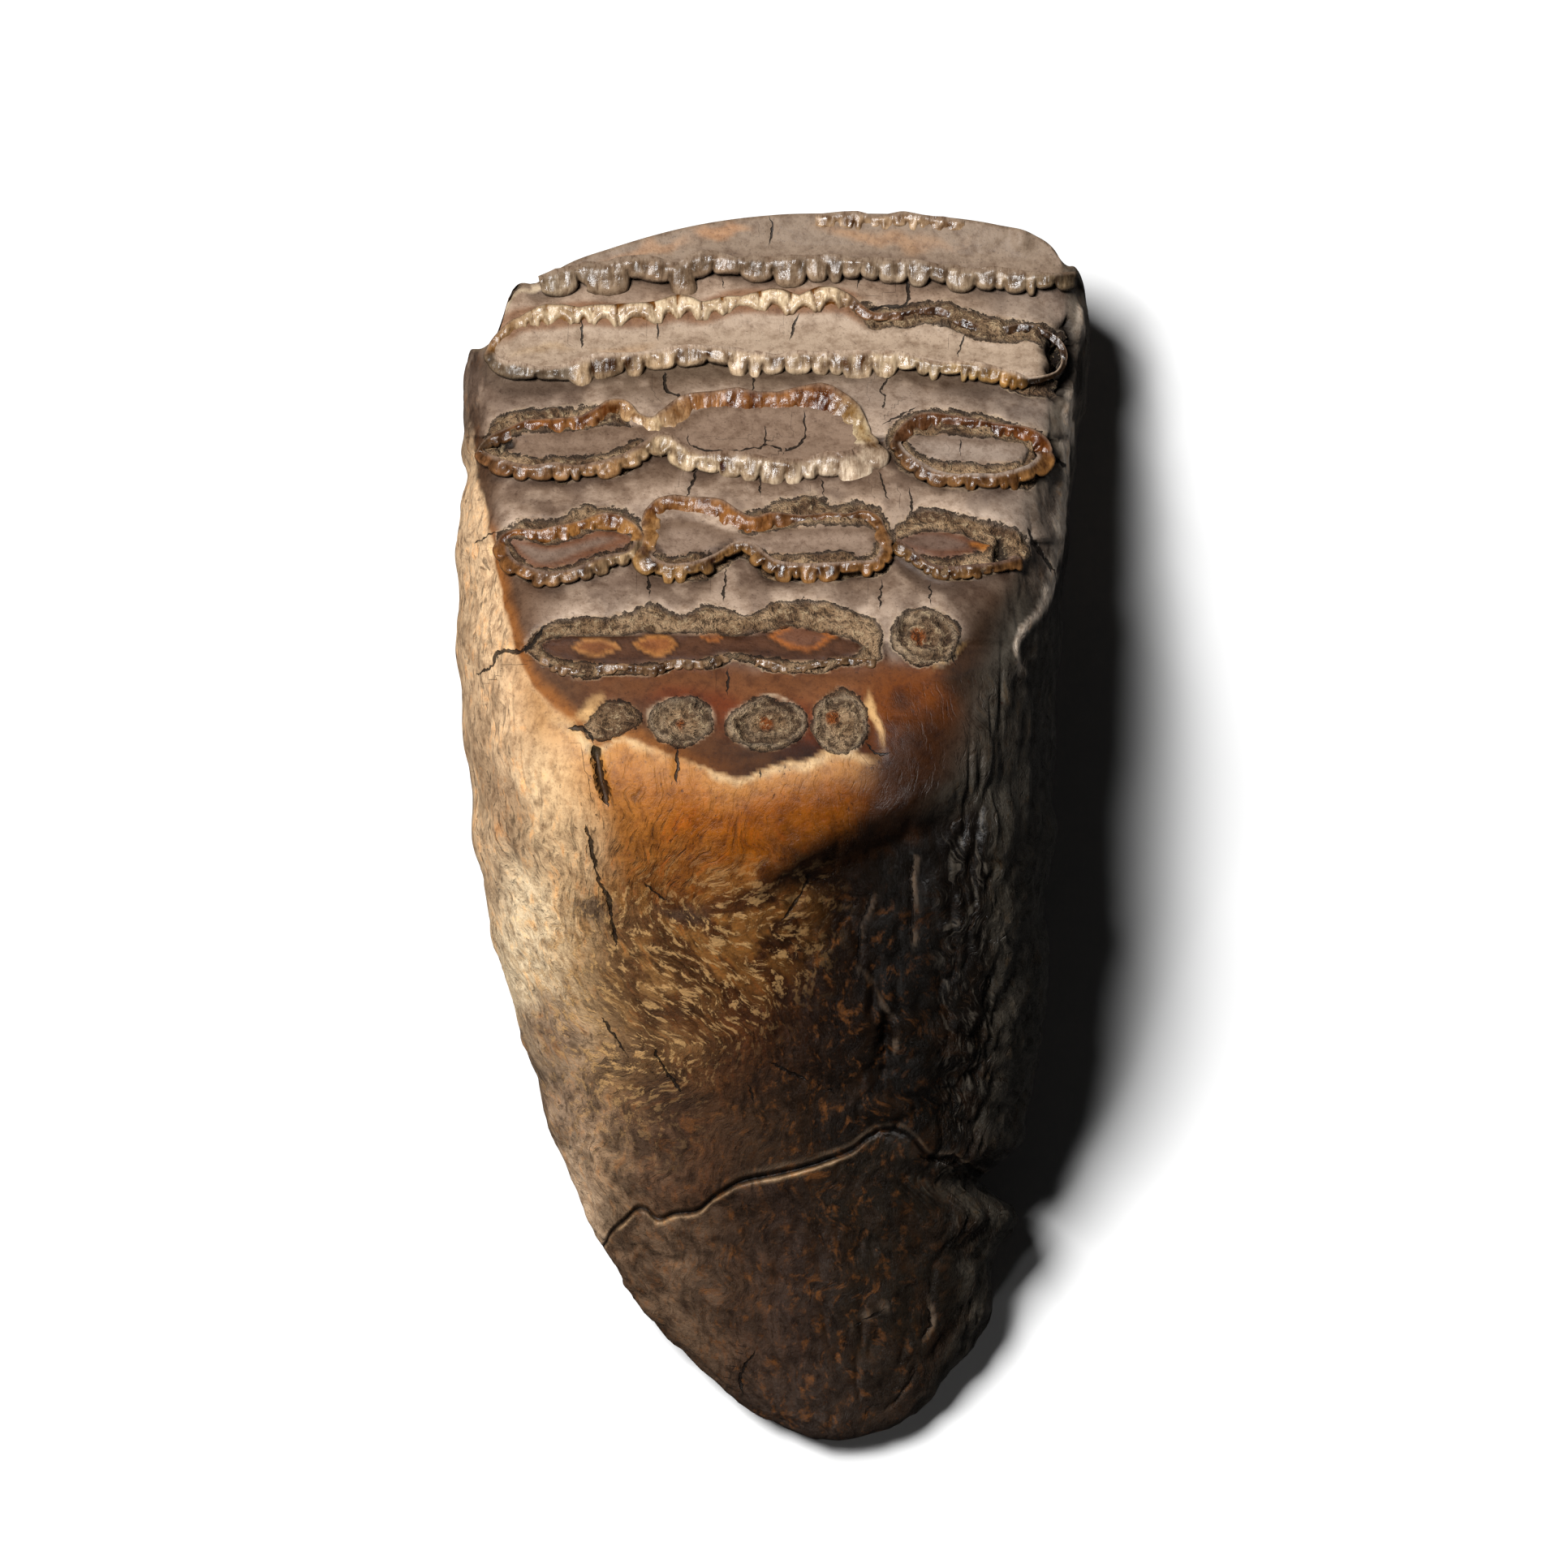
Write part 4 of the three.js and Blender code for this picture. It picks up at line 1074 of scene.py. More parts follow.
# %% The left flank, and patches on the heel
# painted light: this cream patch is painted brighter than its colour, as if lit from the left
paint(0.7 * blob(-27, -2, 6, 12, 20), 1.15 * linear("#f0cb9c"))
left_flank = smoothstep(-28, -34, X - 0.2 * np.minimum(Y, 0)) * smoothstep(66, 52, Y)
left_flank *= smoothstep(-0.3, 0.5, edge_bent)
# painted light: the left flank is painted brighter than its cream, as if lit from the left
paint(0.95 * left_flank * smoothstep(-50, -5, Y) * smoothstep(52, 40, Y), 1.45 * linear("#e6c196"))
paint(0.9 * left_flank * smoothstep(42, 52, Y), "#8f7763")
paint(0.6 * left_flank * smoothstep(-10, -40, Y), 1.2 * linear("#c8a27c"))
# the shade in the hollow under the lip
paint(0.9 * blob(6, -5.5, 19, 3.0, 24, 0.8) * smoothstep(-4, 8, X), "#1c120b")
PATCHES = [
    (-28, -27, 4, 4, 0, 0.8, "#cfa986"), (-26, -34, 6, 7, 20, 0.6, "#97755c"),
    (-22.5, -12, 2.8, 1.4, 0, 0.8, "#6b5442"), (-10, -11.8, 3.0, 1.4, 0, 0.8, "#5e4838"),
    (-12, -25.5, 7, 0.8, 4, 0.7, "#4a2e1a"), (-32.5, 0, 2.2, 9, 25, 0.5, "#9a6e48"),
]
# coordinates that follow the grain of the cement: bent by noise, and fanned out round the heel's middle
swirl = 1.2 * np.exp(-(((X + 9) ** 2 + (Y + 22) ** 2) / 13**2))
flow = np.stack([X + swirl * (Y + 22) + 1.8 * soft_noise + 0.6 * fine_noise, Y, Z], -1)
paint(0.75 * blob(-14, -20, 11, 9, 25, 0.6), "#553417")
golden = smoothstep(-0.05, 0.2, fractal(flow, (1.8, 3.0, 3.0), 4, seed=61))
paint(0.85 * golden * blob(-13, -15, 13, 8, 0, 0.7), "#b87c3a")
paint(0.6 * golden * blob(-20, -25, 9, 10, 20, 0.7), "#c4935a")
paint_blobs(PATCHES)
dark_blotches = smoothstep(0.0, 0.3, fractal(flow, (2.0, 3.4, 3.4), 4, seed=64))
paint(0.5 * dark_blotches * heel * smoothstep(-22, -32, Y), "#38271a")
paint(0.4 * dark_blotches * left_flank * smoothstep(40, 20, Y), "#a07a54")
paint(0.7 * smoothstep(-66, -76, y_bent), "#3f332b")
print("patches painted,", len(layers), "layers so far")

# %% The right flank, its rim and its ridges
right_flank = smoothstep(0.35, 0.8, normals[..., 0])
paint(0.9 * right_flank * smoothstep(40, 20, Y), "#565046")
paint(0.8 * right_flank * smoothstep(30, 44, Y), "#7a6f60")
# painted highlight along the low rim at the table's right edge
rim_highlight = smoothstep(0.8, 0.3, np.abs(from_rim + 0.4 * fine_noise)) * smoothstep(16, 19, Y)
paint(rim_highlight, 1.3 * linear("#c9b8a5"))
# painted highlights: the ridges, and two more without a crack, catch the light
for points in RIDGES + [[[11.5, -20.3], [13, -23], [14.6, -25.5]], [[15.2, -27.1], [14.9, -29.5]]]:
    from_line, _ = nearest(X, Y, smooth_line(points, 0.5, closed=False), False, 2)
    paint(0.6 * smoothstep(0.5, 0.1, np.abs(from_line - 0.35)) * (0.6 + fine_noise), "#7d6a58")
print("right flank painted,", len(layers), "layers so far")

# %% Grit and islets
GRIT_COLOURS = [[-0.5, "#866548"], [0, "#ab8761"], [0.4, "#d6b087"]]
paint(smoothstep(0.1, -0.3, from_grit), ramp(fractal(body, 2.2, 2, seed=41), GRIT_COLOURS))
# painted shade in the deep pit at the right end of the second plate
paint(0.8 * blob(36.2, 55.6, 2.4, 4.4), "#2a1e15")
for plate in PLATES:
    if "ring" in plate:
        for share, colour in [(0.88, "#cbb294"), (0.7, "#4a3524"), (0.52, "#b89c7c")]:
            paint(0.75 * np.exp(-(((plate["from_centre"] - share) / 0.08) ** 2)) * facing_up, colour)
for x, y, size in [(-0.6, 10.9, 0.8), (7.5, 11.4, 0.85), (-11, 10.9, 0.5), (17.9, 21.5, 0.9)]:
    paint(smoothstep(1.2, 0.8, np.hypot(X - x, Y - y) / size) * facing_up, "#a5571c")
# slivers of cream beside three islets
for x, y, across, along, turn in [
    (22.4, 19.2, 0.4, 2.6, -40), (12.3, 11.6, 0.45, 3.0, 6), (-22.2, 12.2, 0.6, 1.8, -40),
]:
    paint(0.9 * blob(x, y, across, along, turn) * smoothstep(-0.1, 0.2, from_grit), "#f0bf80")
# painted shade: the pits are painted darker where they are deeper
paint(0.9 * smoothstep(0.2, 0.9, pits), "#1a120c")
print("grit painted,", len(layers), "layers so far")

# %% The break, the front face and the underside
# painted highlight along the lower edge of the break, where the lower piece's raised edge faces the lamp
lit_rim = np.exp(-(((from_break + 0.6) / 0.25) ** 2)) * smoothstep(14, 6, X) * (0.7 + 0.6 * fine_noise)
paint(0.85 * lit_rim * broken, "#c9a47a")
second_rim = np.exp(-(((from_break - 0.9) / 0.22) ** 2)) * smoothstep(-8, -2, X) * (0.6 + 0.8 * fine_noise)
paint(0.6 * second_rim * broken, "#8a735c")
paint(np.exp(-((from_break / 0.3) ** 2)) * broken, "#120c07")
front = smoothstep(0.3, 0.8, normals[..., 1]) * smoothstep(50, 60, Y)
paint(0.7 * front, "#a88f72")
paint(0.8 * smoothstep(-0.2, -0.8, normals[..., 2]), "#8a7562")
tone = laid_over(layers)
print(len(layers), "layers, mean tone", tone.mean((0, 1)).round(2))

# %% Gloss, and where the material's patterns go
amber = np.clip(lip + blob(16.5, 10, 8, 8, 20), 0, 1)
valley = on_table * smoothstep(22, 15, Y)
roughness = 0.55 + 0.06 * soft_noise - 0.1 * heel - 0.05 * amber + 0.3 * valley * (1 - grit) + 0.3 * grit
roughness -= 0.1 * smoothstep(-8, 8, X) * heel
fleck = blob(-13, -20, 11, 10, 25, 0.7) + 0.7 * blob(-22, -26, 10, 14, 20, 0.8)
fleck = np.clip(fleck + 0.5 * blob(-2, -16, 7, 8, 0, 0.8), 0, 1)
pale_heel = 0.7 * heel * smoothstep(-2, -20, X)
fibre = np.clip(0.9 * left_flank + 0.35 * lip + pale_heel + right_side, 0, 1) * (1 - on_table)
specks = np.clip(lip + pale_heel, 0, 1) * (1 - on_table)
rust = heel * smoothstep(-6, -16, Y) * smoothstep(-24, -10, X) * smoothstep(26, 8, X)
stain = np.clip(heel + side, 0, 1) * (1 - on_table)
beside_grit = on_table * smoothstep(-0.6, -0.2, inside_plate) * smoothstep(14, 17, Y)
beside_grit = beside_grit * (0.6 + 0.8 * fine_noise)
print("roughness from", roughness.min().round(2), "to", roughness.max().round(2))

# %% [markdown]
# ## The body mesh
#
# The grid becomes a mesh of quads, with a fan of triangles at each end. The painted values go in as
# attributes, which the material reads by name.

# %% From a grid to a mesh piece


def closed_grid_faces(rows, columns):
    """Quads between neighbouring rows, closed round the columns, with a fan to one vertex at each end."""
    i, j = np.meshgrid(np.arange(rows - 1), np.arange(columns), indexing="ij")
    k = (j + 1) % columns
    quads = np.stack([i * columns + j, (i + 1) * columns + j, (i + 1) * columns + k, i * columns + k], -1)
    j, k = j[0], k[0]
    first, last_row = np.full(columns, rows * columns), (rows - 1) * columns
    fans = [np.stack([first, j, k], -1), np.stack([first + 1, last_row + k, last_row + j], -1)]
    return quads.reshape(-1, 4).tolist() + np.vstack(fans).tolist()


# the kind of attribute for values with 1, 3 or 4 numbers, and the name of its slot
ATTRIBUTES = {1: ("FLOAT", "value"), 3: ("FLOAT_VECTOR", "vector"), 4: ("FLOAT_COLOR", "color")}


def make_piece(name, points, faces, fields):
    """A smooth-shaded mesh object in metres, with point attributes: one number, a vector or a colour."""
    mesh = bpy.data.meshes.new(name)
    mesh.from_pydata((points * MM).tolist(), [], faces)
    mesh.shade_smooth()
    for key, values in fields.items():
        kind, slot = ATTRIBUTES[values.shape[-1]]
        mesh.attributes.new(key, kind, "POINT").data.foreach_set(slot, values.astype(np.float32).ravel())
    piece = bpy.data.objects.new(name, mesh)
    bpy.context.collection.objects.link(piece)
    return piece


def with_ends(values):
    """Grid values as a flat list, with the mean of the first and the last row added for the two fans."""
    values = values if values.ndim == 3 else values[..., None]
    ends = [values[0].mean(0)[None], values[-1].mean(0)[None]]
    return np.vstack([values.reshape(-1, values.shape[-1])] + ends)


def dimmed(colours):
    """Linear colours dimmed for the lamp, with the alpha of 1 that a colour attribute needs."""
    return np.concatenate([np.clip(colours * LAMP_GAIN, 0, 1), np.ones(colours.shape[:-1] + (1,))], -1)


print("kinds of attribute:", [kind for kind, _ in ATTRIBUTES.values()])

# %% The body
body_fields = {
    "roughness": roughness,
    "from_grit": from_grit,
    "beside_grit": beside_grit,
    "fibre": fibre,
    "fleck": fleck,
    "specks": specks,
    "weathered": right_side * (1 - on_table),
    "rust": rust,
    "stain": stain,
    "crack_offset": crack_offset,
    "crack_width": crack_width,
}
all_fields = body_fields | {"tone": dimmed(tone), "flow": flow}
molar = make_piece(
    "molar_body",
    with_ends(displaced),
    closed_grid_faces(n_rows, n_columns),
    {key: with_ends(values) for key, values in all_fields.items()},
)
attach(molar, "root")
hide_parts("molar")
print("body:", len(molar.data.polygons), "faces")

# %% [markdown]
# ## Enamel
#
# Enamel is the hardest tissue, so it stands up as a ridge. In a mammoth it is crinkled like a pie crust:
# its worn top is level with the softer tissue on the front side, and on the heel side it hangs over the
# gutter in rounded, glossy tabs. It could be carved into the body's grid, but the tabs overhang. A profile
# carried along each plate's outline gives them their own round edges. The style of the band changes along
# each plate, from cream and arched to orange and smooth, so it is written down as stops along x for each
# side of each plate.

# %% Styles of the enamel
# For each side of a plate, stops along x: x, half-width, height, length of the tabs, width of a tab (mm),
# how much the band is bent into arches (0 to 1), and the two colours between which it varies.
ENAMEL = {
    "front_rim": (
        [[0, 0.8, 0.7, 0.3, 2, 0, "#8a6a4a", "#dcb98e"]],
        [[0, 0.8, 0.7, 0.8, 2, 0, "#7a5a3c", "#d8b48c"]],
    ),
    "front": (
        [[0, 0.9, 0.8, 0, 4, 0, "#6e5b47", "#8f7a62"]],
        [
            [-30, 0.9, 1.0, 0.7, 5, 0, "#8f7b62", "#c8b090"],
            [-24, 1.1, 1.1, 1.2, 6, 0, "#66523e", "#a88f74"],
            [-15, 1.2, 1.2, 2.4, 4.4, 0, "#5c4833", "#a88b6f"],
            [-4, 1.1, 1.2, 2.0, 3.0, 0, "#5c4833", "#a88b6f"],
            [20, 1.0, 1.1, 1.7, 2.6, 0, "#6b5540", "#b8a084"],
            [30, 0.9, 1.0, 1.5, 2.2, 0, "#5f4a36", "#b89c7c"],
            [37, 0.7, 0.8, 1.0, 2, 0, "#33261b", "#806c52"],
        ],
    ),
    "second": (
        [
            [-35, 0.6, 0.6, 0.2, 3, 0, "#8a6238", "#b8916a"],
            [-28, 1.1, 0.9, 0.3, 3.4, 0.8, "#9a7448", "#e8cca4"],
            [-20, 1.3, 1.1, 0.3, 3.4, 1, "#966a40", "#efd4ae"],
            [8, 1.3, 1.1, 0.3, 3.2, 1, "#8f6238", "#efd2aa"],
            [10.5, 0.5, 0.3, 0.4, 2.4, 0, "#4a3020", "#8f6544"],
            [32, 0.4, 0.1, 0.2, 2, 0, "#3a2718", "#6a4a30"],
        ],
        [
            [-35, 0.8, 0.9, 0.5, 6, 0, "#4a3c30", "#7a6650"],
            [-25.2, 0.8, 0.9, 0.5, 5, 0, "#5a4b3a", "#8f7c66"],
            [-24, 1.0, 1.2, 2.1, 3.8, 0, "#5f4630", "#d0b08a"],
            [-12, 1.0, 1.2, 1.9, 2.9, 0, "#5f462f", "#d2b28c"],
            [-6, 1.0, 1.2, 1.9, 2.5, 0, "#664a30", "#e0c29e"],
            [12, 1.0, 1.2, 1.8, 2.5, 0, "#6b4d32", "#e2c6a2"],
            [20, 0.8, 1.0, 1.4, 2, 0, "#6b5034", "#d4b890"],
            [26, 0.8, 0.9, 1.2, 2, 0, "#66492c", "#cda262"],
            [30, 0.7, 0.8, 1.0, 1.6, 0, "#4a3018", "#c08a48"],
            [32, 0.3, 0.0, 0.2, 1.6, 0, "#1a120b", "#3a2818"],
        ],
    ),
    "third_left": (
        [
            [-35, 0.5, 0.6, 0.4, 2.2, 0, "#3a2819", "#66492f"],
            [-28, 0.8, 0.8, 0.7, 2.4, 0, "#5a2f14", "#a86a34"],
            [-21, 0.9, 0.9, 0.8, 2.6, 0, "#744420", "#c8925a"],
            [-14, 1.0, 1.0, 0.8, 3.2, 0, "#946a40", "#e0c094"],
            [-9, 1.7, 1.1, 1.6, 3.2, 0, "#66350f", "#bd8148"],
            [7, 1.7, 1.1, 1.6, 3.2, 0, "#5f300f", "#ad6f38"],
            [11, 0.9, 1.0, 1.0, 2.6, 0, "#a5814f", "#e4cea6"],
        ],
        [
            [-35, 0.7, 0.8, 0.9, 2.2, 0, "#4a2e18", "#a06e44"],
            [-18, 0.6, 0.9, 1.2, 2.2, 0, "#4e3620", "#b58a5c"],
            [-14, 1.1, 1.2, 1.9, 2.6, 0, "#5c4024", "#e4c69c"],
            [11, 1.1, 1.2, 1.9, 2.6, 0, "#6b4a2c", "#efd6b8"],
        ],
    ),
    "third_right": (
        [[15, 0.7, 0.6, 0.8, 2, 0, "#4a2d18", "#744e32"], [33, 0.8, 0.8, 0.8, 2, 0, "#542a10", "#8a5022"]],
        [[15, 0.6, 0.6, 0.7, 2, 0, "#4a3220", "#8f6844"], [28, 0.6, 0.8, 1.1, 2, 0, "#4a2a14", "#a0703e"]],
    ),
    "fourth_left": (
        [
            [-32, 0.7, 0.8, 0.7, 2.2, 0, "#542e12", "#a0642c"],
            [-18, 0.8, 0.8, 0.8, 2.2, 0, "#66391a", "#b8844a"],
        ],
        [
            [-32, 0.7, 0.8, 1.0, 2.0, 0, "#4a2a12", "#a06a38"],
            [-18, 0.6, 0.8, 1.0, 2.0, 0, "#4a3626", "#c0a078"],
        ],
    ),
    "fourth_middle": (
        [
            [-14, 1.1, 1.0, 1.0, 2.8, 0, "#66391a", "#b07c44"],
            [-4, 1.1, 1.0, 1.0, 2.8, 0, "#5f3416", "#a86c34"],
            [2, 0.6, 0.7, 0.8, 2, 0, "#4a2d18", "#8a5c36"], [13, 0.6, 0.7, 0.8, 2, 0, "#523420", "#94683e"],
        ],
        [
            [-14, 0.6, 0.8, 1.3, 1.9, 0, "#472d18", "#b48852"],
            [13, 0.6, 0.8, 1.2, 1.9, 0, "#472a14", "#a87440"],
        ],
    ),
    "fourth_right": (
        [
            [16, 0.5, 0.5, 0.5, 1.8, 0, "#4a2810", "#9a5a26"],
            [31, 0.5, 0.5, 0.5, 1.8, 0, "#4a2810", "#9a5a26"],
        ],
        [
            [16, 0.6, 0.7, 0.9, 1.8, 0, "#4a2f1a", "#a87e4c"],
            [31, 0.5, 0.5, 0.7, 1.8, 0, "#422a16", "#845a34"],
        ],
    ),
    "fifth": (
        [[-28, 0.3, 0.3, 0.2, 1.8, 0, "#4a2f1c", "#8a6a48"]],
        [
            [-28, 0.35, 0.3, 0.7, 1.2, 0, "#4a301c", "#a88462"],
            [13, 0.3, 0.2, 0.6, 1.2, 0, "#4a3420", "#8c6c4c"],
        ],
    ),
}
print("enamel styles for", len(ENAMEL), "plates")

# %% Lines and styles along a plate


def blended_noise(place, length, pitch, low, high):
    """A smooth random curve along a line, from low to high, that joins up at the end."""
    count = max(3, round(length / pitch))
    values = random.uniform(low, high, count)
    return np.interp(place / length * count, np.arange(count + 1), np.r_[values, values[:1]])


def normals_of(line, closed):
    """The left-hand normals of a line of points."""
    ends = (line[-1:], line[:1]) if closed else (2 * line[:1] - line[1:2], 2 * line[-1:] - line[-2:-1])
    padded = np.vstack([ends[0], line, ends[1]])
    tangent = padded[2:] - padded[:-2]
    tangent /= np.linalg.norm(tangent, axis=1, keepdims=True)
    return np.stack([-tangent[:, 1], tangent[:, 0]], 1)


def side_style(stops, x):
    """The style numbers and the two colours of one side of a plate, blended along x between its stops."""
    keys = [stop[0] for stop in stops]
    numbers = [np.interp(x, keys, [stop[i] for stop in stops]) for i in range(1, 6)]
    colours = [ramp(x, [[stop[0], stop[i]] for stop in stops]) for i in (6, 7)]
    return np.stack(numbers), np.stack(colours)


def tabs_along(place, length, tab_width):
    """Cuts a line into tabs. For each point: where it lies in its tab, from -1 to 1, how far it is in mm
    from the nearest gap (never near one that is shallow), and two random numbers of its tab, from 0 to 1."""
    ends = [0.0]
    while ends[-1] < length:
        ends.append(ends[-1] + random.uniform(0.5, 1.5) * np.interp(ends[-1], place, tab_width))
    ends = np.array(ends) * length / ends[-1]
    index = np.clip(np.searchsorted(ends, place, side="right") - 1, 0, len(ends) - 2)
    width = ends[index + 1] - ends[index]
    v = 2 * (place - ends[index]) / width - 1
    shallow = random.uniform(0, 1, len(ends) + 1) ** 2
    from_gap = (1 - np.abs(v)) * width / 2 + 0.35 * shallow[index + (v > 0)]
    return v, from_gap, *random.uniform(0, 1, (2, len(ends)))[:, index]


print("tab widths from", min(s[4] for sides in ENAMEL.values() for side in sides for s in side), "mm")

# %% The band along a plate
ENAMEL_STEP = 0.18  # mm
# Places across the ribbon: T runs from -1 on the inner edge of a plate to 1 on its outer edge. Each edge is
# there twice, because the root hangs from it.
HALF_RIBBON = np.array([0.1, 0.3, 0.5, 0.66, 0.8, 0.9, 0.96, 1, 1])
T = np.r_[-HALF_RIBBON[::-1], HALF_RIBBON]
FROM_MIDDLE = np.abs(T)


def band_along(plate):
    """The band of enamel along one plate: its line, and columns of numbers with a row for each point of the
    line. Across it, it hangs on its heel side and merges on its other side, with a groove at each gap
    between tabs. An arch bends the ridge as 1 - 2 |v|^2.2, where v runs from -1 to 1 across the tab."""
    closed = "open" not in plate and "enamel" not in plate
    if "enamel" in plate:
        line = smooth_line(plate["enamel"], ENAMEL_STEP, False)
    else:
        line = plate_line(plate, ENAMEL_STEP)
    outward = normals_of(line, closed)
    to_heel = smoothstep(0.35, -0.35, outward[:, 1])
    sides = ENAMEL[plate["name"]]
    (front, front_colours), (back, back_colours) = (side_style(stops, line[:, 0]) for stops in sides)
    half, height, tab_length, tab_width, arch = front + (back - front) * to_heel
    place = np.arange(len(line)) * ENAMEL_STEP
    length = place[-1] + ENAMEL_STEP
    v, from_gap, own_length, own_shade = tabs_along(place, length, tab_width)
    centre = line + outward * (blended_noise(place, length, 3.5, -0.35, 0.35))[:, None]
    height = height * blended_noise(place, length, 4, 0.65, 1.1)
    half = half * blended_noise(place, length, 2.5, 0.7, 1.35)
    bend = 0.7 * (1 - 2 * np.abs(v) ** 2.2)
    lean = np.sqrt(1 + np.gradient(bend, place) ** 2)
    columns = dict(
        to_heel=to_heel, half=half, height=height, tab_length=tab_length, arch=arch, v=v, from_gap=from_gap,
        own_length=own_length, own_shade=own_shade, bend=bend, lean=lean,
    )
    band = types.SimpleNamespace(**{key: values[:, None] for key, values in columns.items()})
    band.closed, band.line, band.centre, band.outward = closed, line, centre, outward
    band.across = normals_of(centre, closed)
    band.colours = front_colours + (back_colours - front_colours) * to_heel[:, None]
    band.has_tabs = band.tab_length > 0.35
    band.hanging = np.where(T > 0, band.to_heel, 1 - band.to_heel)
    band.groove = np.exp(-((band.from_gap / 0.22) ** 2)) * band.hanging * smoothstep(0.0, 0.7, FROM_MIDDLE)
    band.reach = band.half * T
    band.from_ridge = (band.reach - band.bend) / band.lean
    band.ridge = smoothstep(1.15, 0.65, np.abs(band.from_ridge))
    return band


print("ribbons of", len(T), "points across")

# %% The form of the ribbon
ROOT_DEPTH = 2.4  # mm


def ribbon_points(band):
    """The points of a ribbon. On its merging side the top slopes gently under the softer tissue,
    1 - 0.5 |t|^2. On its hanging side it stays level and rolls over at the tips, (1 - r^2.4)^0.5. A tab's
    end is rounded as (1 - |v|^2.8)^0.5, where v runs from -1 to 1 across the tab."""
    rounded = np.sqrt(1 - np.abs(band.v) ** 2.8)
    roll = np.clip((FROM_MIDDLE - 0.6) / 0.4, 0, 1)
    bulge = 0.2 * np.exp(-(((FROM_MIDDLE - 0.74) / 0.17) ** 2))
    rolled = 0.1 + 0.9 * np.sqrt(1 - roll**2.4) + 0.5 * bulge * band.has_tabs
    domed = 1 - 0.4 * (1 - rounded) * smoothstep(0.1, 0.8, FROM_MIDDLE) * band.has_tabs
    merged = 1 - 0.5 * FROM_MIDDLE**2
    top = merged + (rolled * domed - merged) * band.hanging
    top = top - 0.45 * band.groove * band.has_tabs
    arched = 0.25 + 0.85 * band.ridge + 0.2 * (band.from_ridge < 0)
    top = top + (arched * np.sqrt(1 - FROM_MIDDLE**8) - top) * band.arch

    root = np.zeros_like(top)
    root[:, [0, -1]] = 1
    ground = surface_height(band.line[:, 0], band.line[:, 1])[:, None]
    level = np.where(root > 0, -ROOT_DEPTH, band.height * top)
    tabs = band.tab_length * (0.2 + 1.0 * band.own_length) * rounded * band.hanging
    spread = tabs * np.sign(T) * FROM_MIDDLE**1.3
    x = band.centre[:, 0, None] + band.across[:, 0, None] * band.reach + band.outward[:, 0, None] * spread
    y = band.centre[:, 1, None] + band.across[:, 1, None] * band.reach + band.outward[:, 1, None] * spread
    points = np.stack([x, y, ground + level], -1)
    knobs = 0.2 * fractal(points, (0.9, 1.5, 0.9), 3, seed=50)
    points[..., 2] += knobs * (1 - root)
    return points


print("root", ROOT_DEPTH, "mm deep")

# %% The colours of the ribbon
CEMENT_BESIDE, DENTINE_BESIDE, DARK_GAP_AND_SHADE = "#a98f7a", "#9f8873", "#3a2819"


def ribbon_colours(plate, band, points):
    """Each tab has its own tint, paler at its tip, partly as a painted highlight, and darker in its gaps
    and, as painted shade, at the foot of its hanging edge. On its merging side the enamel takes on the
    colour of the tissue beside it."""
    # the tips are painted paler: partly their colour, partly a painted highlight
    tip = band.hanging * smoothstep(0.4, 0.8, FROM_MIDDLE) * band.has_tabs
    share = 0.2 + 0.6 * band.own_shade * band.has_tabs + 0.5 * fractal(points, (0.9, 1.8, 1.0), 3, seed=53)
    share = share + 0.45 * tip - 0.5 * band.groove + (1.2 * band.ridge - 0.5) * band.arch
    share = np.clip(share, -0.1, 1.15)[..., None]
    low_colour, high_colour = band.colours
    colour = low_colour[:, None] + (high_colour - low_colour)[:, None] * share
    inside = linear(BASINS.get(plate["name"], DENTINE_BESIDE))
    beside = np.where(T[:, None] > 0, linear(CEMENT_BESIDE), inside)
    to_basin = 0.95 * smoothstep(0.0, 0.85, FROM_MIDDLE) * band.to_heel
    to_cement = 0.6 * smoothstep(0.5, 1, FROM_MIDDLE) * (1 - band.to_heel)
    merging = (1 - band.hanging) * (to_basin + to_cement) * (1 - band.arch)
    colour = colour + (beside - colour) * merging[..., None] * (plate["row"] < 4)
    seam = (1 - band.hanging) * smoothstep(0.85, 0.97, FROM_MIDDLE) * (T > 0)
    # painted shade at the foot of the hanging edge, where it overhangs the gutter, laid with the dark gaps
    # and seam
    gap_and_foot_shade = 0.6 * band.hanging * smoothstep(0.9, 1.0, FROM_MIDDLE)
    gap_and_foot_shade = np.maximum(gap_and_foot_shade, np.maximum(0.5 * band.groove, 0.4 * seam))
    return colour + (linear(DARK_GAP_AND_SHADE) - colour) * gap_and_foot_shade[..., None]


print("gaps between tabs are", DARK_GAP_AND_SHADE)

# %% All the ribbons as one piece


def ribbon_faces(n_along, n_across, closed):
    """Quads round the profile and along the line, and flat ends where the line is open."""
    i, j = np.meshgrid(np.arange(n_along if closed else n_along - 1), np.arange(n_across), indexing="ij")
    i2, j2 = (i + 1) % n_along, (j + 1) % n_across
    faces = np.stack([i * n_across + j, i * n_across + j2, i2 * n_across + j2, i2 * n_across + j], -1)
    faces = faces.reshape(-1, 4).tolist()
    if not closed:
        faces.append(list(range(n_across))[::-1])
        faces.append([(n_along - 1) * n_across + j for j in range(n_across)])
    return faces


